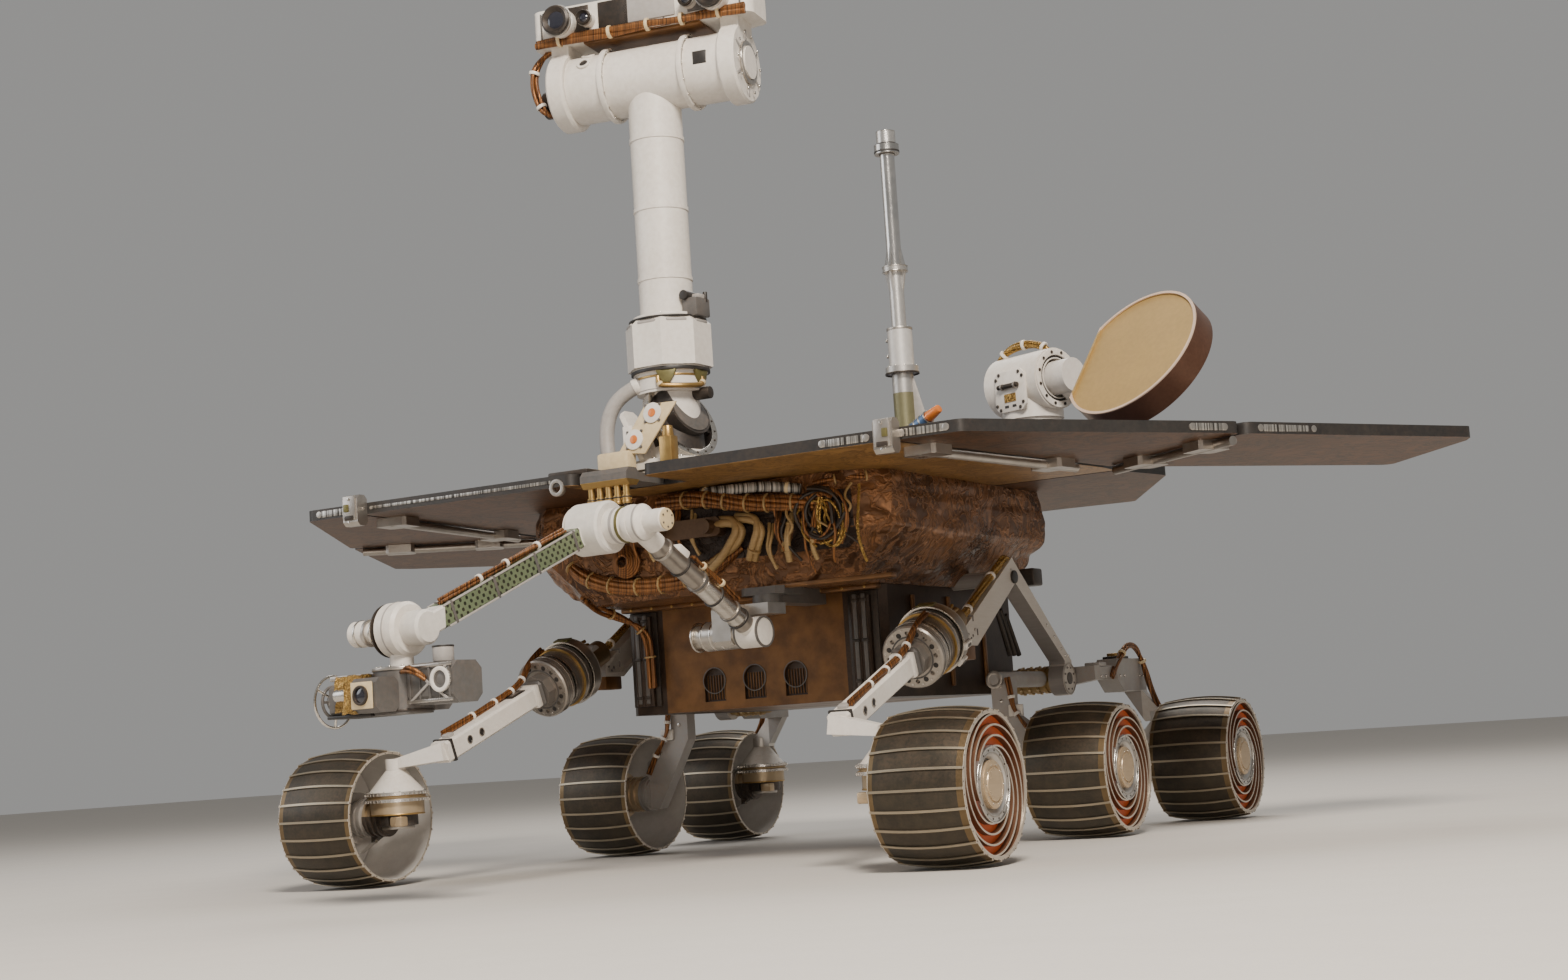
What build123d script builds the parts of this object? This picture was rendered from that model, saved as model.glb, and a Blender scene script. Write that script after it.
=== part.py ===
from build123d import *
import math
import os

# A six-wheeled planetary rover, in millimetres.
# +X is the rover's left, -Y is its front, +Z is up, and the wheels stand on Z = 0.
# Every Y below is measured from the middle axle, and frame_shift_y moves the
# finished nodes so that Y = 0 is halfway along the rover.
frame_shift_y = 352.0
clearance = 5.0
running_gap = 0.3

# Wheels: a crowned drum with cleats, a foam disc, and spiral fins round the hub
wheel_radius = 125.0
wheel_edge_radius = 117.5
wheel_width = 163.0
cleat_height = 2.5
cleat_width = 4.0
cleat_count = 24
rim_wall = 3.5
rim_lip = 6.0
foam_recess = 13.0
foam_thickness = 12.0
hub_radius = 60.0
hub_bore = 38.0
hub_recess = 4.0
hub_depth = 36.0
hub_flare = 9.0
fin_count = 6
fin_sweep = 200.0
fin_wall = 3.0
fin_recess = 2.0

# Tracks and axles
front_track = 1192.0
middle_track = 1038.0
rear_track = 1148.0
front_axle_y = -748.0
rear_axle_y = 503.0

# Drive motors in the hubs
motor_radius = 32.0
motor_rib_radius = 36.0
motor_rib_width = 5.0
motor_rib_pitch = 13.0
motor_flange_radius = 46.0
motor_flange_depth = 48.0
strut_thickness = 16.0
strut_reach = 64.0

# Steering, with its axis just inside the wheel's inner rim
kingpin_inset = 14.5
kingpin_head_radius = 18.0
kingpin_head_bottom = 207.0
kingpin_head_height = 20.0
cone_base_radius = 50.0
cone_base_z = 168.0
ring_radius = 56.0
ring_groove_radius = 51.0
ring_bottom = 150.0
barrel_radius = 48.0
barrel_bottom = 128.0
cup_radius = 36.0
cup_bottom = 108.0

# Body
body_half_width = 280.0
body_front_y = -310.0
body_rear_y = 250.0
body_bottom = 280.0
body_edge = 16.0
shelf_bottom = 485.0
shelf_front_y = -500.0
shelf_rear_y = 262.0
shelf_inset = 20.0
flank_half_width = 372.0
flank_bottom = 575.0
corner_cut = 60.0
arch_width = 46.0
arch_height = 62.0
arch_depth = 8.0
arch_places = (-88.0, 0.0, 88.0)
post_width = 26.0
post_height = 170.0
post_depth = 16.0
mount_hole_radius = 4.25
mount_hole_depth = 16.0
mount_spacing_x = 360.0
mount_spacing_y = 400.0

# Deck and wings, as one flat array of panels
deck_top = 693.0
panel_thickness = 20.0
panel_corner_radius = 18.0
deck_front_y = -760.0
panel_gap = 8.0
seam_x = 545.0
front_corner_x = 668.0
knee = (966.0, -300.0)
root = (632.0, -62.0)
wing_tip = (1235.0, 165.0)
wing_tip_width = (18.0, 44.0)
wing_trail = (1008.0, 470.0)
tail_shoulder = (655.0, 178.0)
tail_tip = (432.0, 588.0)
tail_notch_width = 150.0
tail_notch_depth = 10.0
mast_slot_half_width = 70.0
mast_slot_depth = 150.0
hinge_radius = 8.0
hinge_pad_depth = 16.0
latch_size = (34.0, 28.0, 56.0)

# Rocker: a V of box section, its outline given as (y, z)
rocker_x = 388.0
rocker_plate = 34.0
rocker_apex = (-13.0, 531.0)
rocker_inner_apex = (-5.0, 483.0)
rocker_foot = (-255.0, 363.0)
rocker_foot_length = 62.0
rocker_foot_rise = 24.0
rocker_leg_end = (221.0, 336.0)
rocker_leg_width = 34.0
rocker_shaft_radius = 15.0
rocker_shaft_drop = 22.0
rocker_pocket_depth = 12.0
rocker_pocket_edge = 8.0
shaft_reach = 110.0
foot_holes = ((-34.0, 20.0), (-16.0, 18.0), (-43.0, 12.5), (-24.0, 13.0))
foot_slots = ((-12.0, 50.0), (4.0, 25.0))
foot_hole_radius = 3.0

# Bogie: its pivot cap and drum, the wheel legs and the rear corner block
pivot_y = 221.0
pivot_z = 301.0
cap_radius = 33.0
cap_start_x = 374.0
cap_end_x = 405.0
pivot_pin_radius = 12.0
pivot_drum_radius = 24.0
pivot_rib_radius = 27.0
pivot_rib_width = 8.0
pivot_rib_pitch = 18.0
pivot_drum_start_x = 286.0
bogie_x = 430.0
bogie_bar_width = 30.0
bogie_bar_height = 28.0
bogie_bar_z = 309.5
bracket_x = 340.0
corner_front_y = 358.0
corner_slope = 34.0
corner_rear_y = 515.0
corner_width = 44.0
corner_bottom = 270.0
corner_top = 337.0
rear_leg_width = 40.0
rear_leg_thickness = 24.0
middle_leg_x = 363.0
middle_leg_width = 40.0
middle_leg_thickness = 30.0
middle_leg_bend_z = 240.0
middle_tube_x = 354.0
middle_tube_radius = 15.4
middle_tube_z = 303.0

# Front arm: the stepped drive drum, then the square arm and its neck
arm_root = (388.0, -262.0, 406.0)
front_elbow = (405.0, -736.0, 232.0)
front_arm_width = 38.0
front_arm_edge = 4.0
drum_radius = 63.0
drum_start = -14.0
drum_neck_radius = 25.0
drum_face = 188.0
drum_face_hole_radius = 4.0
drum_face_hole_circle = 44.0
nut_radius = 33.0
nut_length = 22.0
neck_width = 24.0

# Mast
mast_y = -537.0
mast_radius = 48.5
mast_seam = 1.5
mast_seam_height = 7.0
mast_seams = (1052.0, 1180.0, 1310.0)
mast_foot_radius = 92.0
mast_foot_height = 28.0
mast_neck_top = 843.0
collar_bottom = 888.0
collar_top = 975.0
collar_radius = 78.0
collar_edge = 9.0
bezel_radius = 78.0
bezel_width = 12.0
bezel_depth = 16.0
tee_z = 1426.0
tee_radius = 61.0
tee_half_length = 150.0
tee_flange_x = 78.0
tee_flange_width = 10.0
head_yaw = 10.0
bar_half_length = 215.0
bar_bottom = 1506.0
bar_height = 68.0
bar_depth = 96.0
bar_corner = 20.0
tray_lip = 8.0
cheek_radius = 72.0
cheek_thickness = 34.0
cheek_boss_radius = 30.0
cheek_boss_height = 7.0
outer_camera_spacing = 300.0
outer_camera_radius = 27.0
outer_camera_reach = 34.0
inner_camera_spacing = 200.0
inner_camera_radius = 14.0
inner_camera_reach = 22.0

# Low-gain mast, as (radius, height above the deck) from the foot up
low_gain_x = 420.0
low_gain_y = -450.0
low_gain_outline = (
    (30.0, 0.0), (30.0, 9.0), (19.0, 9.0), (19.0, 140.0), (29.0, 140.0), (29.0, 151.0), (22.0, 151.0),
    (22.0, 219.0), (13.0, 219.0), (13.0, 320.0), (22.0, 320.0), (22.0, 328.0), (13.0, 328.0),
    (13.0, 530.0), (22.0, 530.0), (22.0, 546.0), (17.0, 546.0), (17.0, 569.0),
)
gusset_reach = 20.0
gusset_height = 34.0
gusset_thickness = 4.0
low_gain_joint = 320.0
low_gain_joint_height = 8.0

# Dish
dish_x = 466.0
dish_y = 0.0
dish_axis_z = 857.0
dish_reach = 273.0
dish_radius = 140.5
dish_depth = 52.0
dish_face_rise = 22.0
dish_rim = 5.0
dish_face_depth = 4.0
dish_chord = 114.5
dish_turn = 21.0
dish_tilt = 54.6
dish_foot_size = (128.0, 118.0, 18.0)
dish_post_radius = 52.0
dish_post_height = 76.0
dish_boss_radius = 32.0
dish_boss_length = 44.0
dish_arm_width = 56.0
dish_arm_thickness = 20.0
gimbal_radius = 58.0
gimbal_half_length = 68.0
gimbal_ring_radius = 38.0
gimbal_ring_depth = 26.0

# Arm
arm_yaw = 5.0
yaw_axis = (140.0, -486.0)
yaw_plate_width = 92.0
mount_plate_thickness = 14.0
shoulder_z = 405.0
shoulder_forward = 47.0
shoulder_cheek = 40.0
shoulder_motor_radius = 26.0
shoulder_motor_end = -120.0
upper_arm_length = 364.0
upper_arm_rise = 29.2
forearm_length = 442.0
forearm_rise = -22.0
arm_offset = 94.0
arm_tube_radius = 18.0
seam_ring = 2.0
seam_ring_width = 5.0
boss_radius = 27.0
boss_half = 24.0
elbow_housing_radius = 30.0
elbow_housing_start = -44.0
elbow_motor_radius = 19.0
elbow_motor_end = 68.0
elbow_radius = 44.0
elbow_width = 22.0
forearm_size = 34.0
forearm_edge = 3.0
wrist_housing_radius = 27.0
wrist_housing_half = 18.0
wrist_radius = 42.0
wrist_width = 46.0
wrist_motor_radius = 20.0
wrist_motor_length = 74.0
wrist_post_radius = 18.0
wrist_post_length = 56.0
turret_drop = 92.0
turret_radius = 44.0


def rod(start, end, radius):
    """A round bar between two points."""
    a = Vector(*start)
    b = Vector(*end)
    length = (b - a).length
    return Plane(origin=a, z_dir=b - a).location * Pos(0, 0, length / 2) * Cylinder(radius, length)


def beam(start, end, width, height, edge=0.0):
    """A square bar between two points, with its width level and its long edges cut."""
    a = Vector(*start)
    b = Vector(*end)
    run = b - a
    level = Vector(0, 0, 1).cross(run)
    bar = Box(width, height, run.length)
    if edge:
        bar = chamfer(bar.edges().filter_by(Axis.Z), edge)
    return Plane(origin=a, x_dir=level, z_dir=run).location * Pos(0, 0, run.length / 2) * bar


def side_plate(points, low_x, high_x):
    """A flat plate that stands fore and aft, from (y, z) corners."""
    outline = Polyline(*[(y, z) for y, z in points], close=True)
    face = make_face(Plane.YZ * outline)
    return Pos(low_x, 0, 0) * extrude(face, high_x - low_x, dir=(1, 0, 0))


def front_plate(points, low_y, high_y):
    """A flat plate that stands across the rover, from (x, z) corners."""
    outline = Polyline(*[(x, z) for x, z in points], close=True)
    face = make_face(Plane.XZ * outline)
    return Pos(0, low_y, 0) * extrude(face, high_y - low_y, dir=(0, 1, 0))


def level_plate(points, bottom, top, round_corners=()):
    """A flat level plate from (x, y) corners, of which those listed are rounded."""
    outline = Polyline(*points, close=True)
    plate = Pos(0, 0, bottom) * extrude(make_face(outline), top - bottom, dir=(0, 0, 1))
    for x, y in round_corners:
        corner = plate.edges().filter_by(Axis.Z).sort_by_distance((x, y, (bottom + top) / 2))[0]
        plate = fillet(corner, panel_corner_radius)
    return plate


def turned(outline):
    """A turned piece about Z, from the (radius, height) corners of its outline."""
    start = (0, outline[0][1])
    end = (0, outline[-1][1])
    section = make_face(Plane.XZ * Polyline(start, *outline, end, close=True))
    return revolve(section, Axis.Z, 360)


def across(shape):
    """A piece made about Z, laid along +X."""
    return Rot(0, 90, 0) * shape


def other_side(shape):
    """The same piece on the rover's right."""
    return mirror(shape, about=Plane.YZ)


def crown(edge, middle):
    """The bowed line across a wheel, from its edge radius to its middle radius."""
    half = wheel_width / 2
    return ThreePointArc((-half, edge), (0, middle), (half, edge))


def crown_band(outer_drop, inner_drop):
    """The face between two crowned lines, each a drop below the cleats' tips."""
    half = wheel_width / 2
    outer = wheel_edge_radius - outer_drop
    inner = wheel_edge_radius - inner_drop
    return make_face(
        [
            crown(outer, wheel_radius - outer_drop),
            crown(inner, wheel_radius - inner_drop),
            Line((-half, outer), (-half, inner)),
            Line((half, outer), (half, inner)),
        ]
    )


def spiral_fin(start_radius, end_radius, depth):
    """One spiral fin that stands on the XY plane, its sides made of tangent-like arcs."""
    steps = 6

    def side(offset):
        """The points of one side of the fin."""
        points = []
        for step in range(steps + 1):
            share = step / steps
            radius = start_radius + share * (end_radius - start_radius) + offset
            angle = -math.radians(share * fin_sweep)
            points.append((radius * math.cos(angle), radius * math.sin(angle)))
        return points

    outer = side(fin_wall / 2)
    inner = side(-fin_wall / 2)
    edges = [Line(outer[0], inner[0]), Line(outer[-1], inner[-1])]
    for points in (outer, inner):
        for step in range(0, steps, 2):
            edges.append(ThreePointArc(*points[step : step + 3]))
    return extrude(make_face(edges), depth)


def wheel():
    """A wheel about the X axis, with its outer face on the +X side."""
    half = wheel_width / 2
    skin_edge = wheel_edge_radius - cleat_height
    mid_wall = cleat_height + rim_wall / 2
    foam_x = half - foam_recess
    shape = revolve(crown_band(cleat_height, cleat_height + rim_wall), Axis.X, 360)
    lip = Cylinder(skin_edge - rim_wall / 2, foam_recess) - Cylinder(skin_edge - rim_lip, foam_recess)
    shape += Pos(half - foam_recess / 2, 0, 0) * across(lip)
    foam = Cylinder(skin_edge - rim_wall / 2, foam_thickness)
    shape += Pos(foam_x - foam_thickness / 2, 0, 0) * across(foam)
    hub_front = half - hub_recess
    shape += Pos(hub_front - hub_depth / 2, 0, 0) * across(Cylinder(hub_radius, hub_depth))
    fin = spiral_fin(hub_radius - fin_wall, skin_edge - rim_lip + fin_wall, foam_recess - fin_recess)
    for count in range(fin_count):
        shape += Pos(foam_x, 0, 0) * across(Rot(0, 0, count * 360 / fin_count) * fin)
    cleat = extrude(crown_band(0, mid_wall), cleat_width / 2, both=True)
    first = -90
    shape += [Rot(first + count * 360 / cleat_count, 0, 0) * cleat for count in range(cleat_count)]
    shape -= Pos(half / 2, 0, 0) * across(Cylinder(hub_bore, wheel_width))
    flare = Cone(hub_bore, hub_bore + hub_flare, hub_flare)
    return shape - Pos(hub_front - hub_flare / 2, 0, 0) * across(flare)


def pin_place(track):
    """How far out the steering axis of an axle stands."""
    return track / 2 - wheel_width / 2 - kingpin_inset


def hub_motor(track, axle_y, start_x):
    """The drive motor of a left wheel, from where it starts to its cap in the hub."""
    hub_front = track / 2 + wheel_width / 2 - hub_recess
    hub_back = hub_front - hub_depth
    flange_x = hub_back - motor_flange_depth

    def piece(low_x, high_x, radius):
        """One round length of the motor."""
        return rod((low_x, axle_y, wheel_radius), (high_x, axle_y, wheel_radius), radius)

    shape = piece(start_x, flange_x, motor_radius)
    shape += piece(flange_x, hub_back - running_gap, motor_flange_radius)
    shape += piece(flange_x, hub_front, hub_bore - running_gap)
    rib_x = flange_x - motor_rib_pitch
    while rib_x > start_x + motor_rib_width:
        shape += piece(rib_x - motor_rib_width / 2, rib_x + motor_rib_width / 2, motor_rib_radius)
        rib_x -= motor_rib_pitch
    return shape, flange_x


def knuckle(axle_y, track):
    """The steered piece of the rover's left side: cone, rings, barrel, strut and motor."""
    pin_x = pin_place(track)
    outline = [
        (cup_radius, cup_bottom),
        (cup_radius, barrel_bottom),
        (barrel_radius, barrel_bottom),
        (barrel_radius, ring_bottom),
        (ring_radius, ring_bottom),
        (ring_radius, ring_bottom + 6),
        (ring_groove_radius, ring_bottom + 8),
        (ring_groove_radius, ring_bottom + 10),
        (ring_radius, ring_bottom + 12),
        (ring_radius, cone_base_z),
        (cone_base_radius, cone_base_z),
        (kingpin_head_radius, kingpin_head_bottom - running_gap),
    ]
    tower = Pos(pin_x, axle_y, 0) * turned(outline)
    motor, flange_x = hub_motor(track, axle_y, pin_x + cup_radius / 2)
    half = strut_thickness / 2
    strut = front_plate(
        [
            (pin_x, cup_bottom + clearance),
            (pin_x + cup_radius / 2, cup_bottom - clearance),
            (flange_x, wheel_radius - strut_reach),
            (flange_x + clearance, wheel_radius - strut_reach),
            (flange_x + clearance, wheel_radius),
        ],
        axle_y - half,
        axle_y + half,
    )
    return tower + motor + strut


def arch():
    """A round-topped recess on the XZ plane, its foot at the origin."""
    half = arch_width / 2
    shoulder = arch_height - half
    outline = [
        Line((-half, 0), (half, 0)),
        Line((half, 0), (half, shoulder)),
        ThreePointArc((half, shoulder), (0, arch_height), (-half, shoulder)),
        Line((-half, shoulder), (-half, 0)),
    ]
    return extrude(Plane.XZ * make_face(outline), arch_depth, both=True)


def lower_body():
    """The lower box, with its bolt holes for the lander below."""
    width = 2 * body_half_width
    length = body_rear_y - body_front_y
    mid_y = (body_rear_y + body_front_y) / 2
    height = shelf_bottom - body_bottom
    box = Pos(0, mid_y, body_bottom + height / 2) * Box(width, length, height)
    box = chamfer(box.edges().filter_by(Axis.Z), body_edge)
    for x in (-1, 1):
        for y in (-1, 1):
            spot = Pos(x * mount_spacing_x / 2, mid_y + y * mount_spacing_y / 2, body_bottom)
            box -= spot * Cylinder(mount_hole_radius, 2 * mount_hole_depth)
    for x in arch_places:
        box -= Pos(x, body_front_y, body_bottom + body_edge) * arch()
    post_z = body_bottom + body_edge + post_height / 2
    for x in (-1, 1):
        for place in (body_half_width - 2 * post_width, body_half_width - post_width - body_edge / 2):
            post = chamfer(Box(post_width - clearance, post_depth, post_height).edges().filter_by(Axis.Z), 3)
            box += Pos(x * place, body_front_y - post_depth / 2 + 1, post_z) * post
    return box


def body_ring(half_width, front, rear, cut):
    """A level outline with cut corners."""
    return [
        (-half_width + cut, front),
        (half_width - cut, front),
        (half_width, front + cut),
        (half_width, rear - cut),
        (half_width - cut, rear),
        (-half_width + cut, rear),
        (-half_width, rear - cut),
        (-half_width, front + cut),
    ]


def upper_body():
    """The flared upper box under the deck, wrapped in its blanket."""
    low = body_ring(body_half_width + 6, shelf_front_y + shelf_inset, shelf_rear_y - shelf_inset / 2, corner_cut)
    high = body_ring(flank_half_width, shelf_front_y, shelf_rear_y, corner_cut)
    low_face = Pos(0, 0, shelf_bottom) * make_face(Polyline(*low, close=True))
    high_face = Pos(0, 0, flank_bottom) * make_face(Polyline(*high, close=True))
    flare = loft([low_face, high_face], ruled=True)
    top = level_plate(high, flank_bottom, deck_top - panel_thickness)
    return flare + top


def deck_core():
    """The middle panel, with the mast's slot at its front edge."""
    half = seam_x - panel_gap / 2
    outline = [
        (-half, deck_front_y),
        (-mast_slot_half_width, deck_front_y),
        (-mast_slot_half_width, deck_front_y + mast_slot_depth),
        (mast_slot_half_width, deck_front_y + mast_slot_depth),
        (mast_slot_half_width, deck_front_y),
        (half, deck_front_y),
        (root[0] - panel_gap, root[1]),
        (root[0] - panel_gap, 0.0),
        (-root[0] + panel_gap, 0.0),
        (-root[0] + panel_gap, root[1]),
    ]
    inner = [(side * mast_slot_half_width, deck_front_y) for side in (-1, 1)]
    outer = [(side * half, deck_front_y) for side in (-1, 1)]
    return level_plate(outline, deck_top - panel_thickness, deck_top, inner + outer)


def tail_panel():
    """The rear panel, which flares and then narrows to two tips."""
    outline = [
        (-root[0] + panel_gap, panel_gap),
        (root[0] - panel_gap, panel_gap),
        tail_shoulder,
        tail_tip,
        (tail_tip[0] - tail_notch_width, tail_tip[1] - tail_notch_depth),
        (-tail_tip[0] + tail_notch_width, tail_tip[1] - tail_notch_depth),
        (-tail_tip[0], tail_tip[1]),
        (-tail_shoulder[0], tail_shoulder[1]),
    ]
    soft = [tail_shoulder, tail_tip, (-tail_tip[0], tail_tip[1]), (-tail_shoulder[0], tail_shoulder[1])]
    return level_plate(outline, deck_top - panel_thickness, deck_top, soft)


def wing_front():
    """The left front wing panel, outboard of the seam."""
    front_corner = (front_corner_x, deck_front_y)
    seam_corner = (seam_x + panel_gap / 2, deck_front_y)
    outline = [
        seam_corner,
        front_corner,
        knee,
        (root[0] + panel_gap, root[1] - panel_gap),
    ]
    return level_plate(outline, deck_top - panel_thickness, deck_top, [seam_corner, front_corner, knee])


def wing_rear():
    """The left rear wing panel, out to the wing's tip."""
    knee_corner = (knee[0] + 2, knee[1] + panel_gap + 2)
    tip_corner = (wing_tip[0] - wing_tip_width[0], wing_tip[1] + wing_tip_width[1])
    outline = [
        knee_corner,
        wing_tip,
        tip_corner,
        wing_trail,
        (root[0] + 2 * panel_gap, root[1] + panel_gap + 4),
    ]
    soft = [knee_corner, wing_tip, wing_trail]
    return level_plate(outline, deck_top - panel_thickness, deck_top, soft)


def along(start, end, share):
    """The (x, y) point that lies a share of the way between two others."""
    return start[0] + share * (end[0] - start[0]), start[1] + share * (end[1] - start[1])


def wing_hinges():
    """Hinge bars under the left wing's two seams, with a latch at the front edge."""
    low = deck_top - panel_thickness
    bar_z = low - hinge_radius - 1
    pads = Part()
    # Columns: where the seam starts and ends, and where its two pads lie along it.
    seams = (
        ((seam_x, deck_front_y + 60), (root[0] - panel_gap, root[1] - 90), (0.1, 0.8)),
        (root, knee, (0.3, 0.75)),
    )
    bars = []
    for start, end, shares in seams:
        a = along(start, end, 0.06)
        b = along(start, end, 0.94)
        bars.append(rod((*a, bar_z), (*b, bar_z), hinge_radius))
        run = math.degrees(math.atan2(end[1] - start[1], end[0] - start[0]))
        for share in shares:
            x, y = along(start, end, share)
            pad = chamfer(Box(58, 64, hinge_pad_depth).edges().filter_by(Axis.Z), 6)
            pads += Pos(x, y, low - hinge_pad_depth / 2) * Rot(0, 0, run) * pad
    latch = Pos(seam_x, deck_front_y - latch_size[1] / 2, deck_top - 14) * Box(*latch_size)
    latch = chamfer(latch.edges().filter_by(Axis.X), 7)
    return bars[0] + bars[1] + pads + latch


def rocker_outline():
    """The corners of the rocker's V, as (y, z)."""
    foot_y, foot_z = rocker_foot
    end_y, end_z = rocker_leg_end
    half = rocker_leg_width / 2
    return [
        (foot_y, foot_z),
        (foot_y, foot_z + rocker_foot_rise),
        rocker_apex,
        (end_y + half, end_z),
        (end_y + half, pivot_z),
        (end_y - half, pivot_z),
        (end_y - half, end_z),
        rocker_inner_apex,
        (foot_y + rocker_foot_length, foot_z),
    ]


def rocker():
    """The left rocker: a box-section V, its shaft to the body and its pivot cap."""
    low_x = rocker_x - rocker_plate / 2
    high_x = rocker_x + rocker_plate / 2
    foot_y, foot_z = rocker_foot
    shape = side_plate(rocker_outline(), low_x, high_x)
    pocket = offset(Polyline(*rocker_outline(), close=True), -rocker_pocket_edge, kind=Kind.INTERSECTION)
    pocket_face = make_face(Plane.YZ * pocket)
    shape -= Pos(low_x, 0, 0) * extrude(pocket_face, rocker_pocket_depth, dir=(1, 0, 0))
    shaft_y = rocker_apex[0]
    shaft_z = rocker_apex[1] - rocker_shaft_drop - rocker_shaft_radius
    shaft = rod((low_x - shaft_reach, shaft_y, shaft_z), (high_x - clearance, shaft_y, shaft_z), rocker_shaft_radius)
    shape += shaft - upper_body() - lower_body()
    shape += rod((cap_start_x, pivot_y, pivot_z), (cap_end_x, pivot_y, pivot_z), cap_radius)
    shape -= rod(
        (cap_start_x - clearance, pivot_y, pivot_z),
        (cap_start_x + 2 * clearance, pivot_y, pivot_z),
        pivot_pin_radius,
    )
    for y, z in foot_holes:
        spot = (foot_y + rocker_foot_length + y, foot_z + z)
        shape -= rod((low_x - 1, *spot), (high_x + 1, *spot), foot_hole_radius)
    for y, z in foot_slots:
        spot = Pos(rocker_x, foot_y + rocker_foot_length + y, foot_z + z)
        shape -= spot * Box(rocker_plate + 2, 2 * foot_hole_radius, 4 * foot_hole_radius)
    return shape


def front_arm():
    """The left front arm: the stepped drive drum, the square arm and the steering head."""
    pin_x = pin_place(front_track)
    foot = Vector(*arm_root)
    elbow = Vector(*front_elbow)
    run = (elbow - foot).normalized()
    place = Plane(origin=foot, x_dir=(1, 0, 0), z_dir=run).location
    # The drum's steps as (radius, distance along the arm).
    steps = [
        (drum_neck_radius, drum_start),
        (drum_neck_radius, 60),
        (drum_radius - 18, 62),
        (drum_radius - 18, 78),
        (drum_radius, 78),
        (drum_radius, 102),
        (drum_radius - 12, 102),
        (drum_radius - 12, 114),
        (drum_radius - 4, 114),
        (drum_radius - 4, 126),
        (drum_radius - 8, 126),
        (drum_radius - 8, 152),
        (drum_radius - 13, 152),
        (drum_radius - 13, 158),
        (drum_radius - 6, 160),
        (drum_radius - 6, drum_face - 3),
        (drum_radius - 9, drum_face),
    ]
    drum = turned(steps)
    for spot in PolarLocations(drum_face_hole_circle, 8):
        drum -= Pos(0, 0, drum_face) * spot * Cylinder(drum_face_hole_radius, 14)
    nut = Pos(0, 0, drum_face) * extrude(RegularPolygon(nut_radius, 8), nut_length)
    shape = place * (drum + nut)
    shape += beam(foot + run * drum_face, elbow, front_arm_width, front_arm_width, front_arm_edge)
    head_z = kingpin_head_bottom + kingpin_head_height / 2
    head_at = Vector(pin_x, front_axle_y, head_z)
    reach = head_at - elbow
    neck_start = Plane(origin=elbow - reach.normalized() * 12, x_dir=(0, 1, 0), z_dir=reach)
    neck_end = Plane(origin=head_at, x_dir=(0, 1, 0), z_dir=reach)
    start_face = neck_start * Rectangle(front_arm_width - 6, front_arm_width - 6)
    end_face = neck_end * Rectangle(neck_width, kingpin_head_height - 4)
    shape += loft([start_face, end_face], ruled=True)
    shape += Pos(pin_x, front_axle_y, head_z) * Cylinder(kingpin_head_radius, kingpin_head_height)
    under_head = Pos(pin_x, front_axle_y, kingpin_head_bottom - 20) * Box(120, 120, 40)
    return shape - under_head - rocker()


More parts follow.
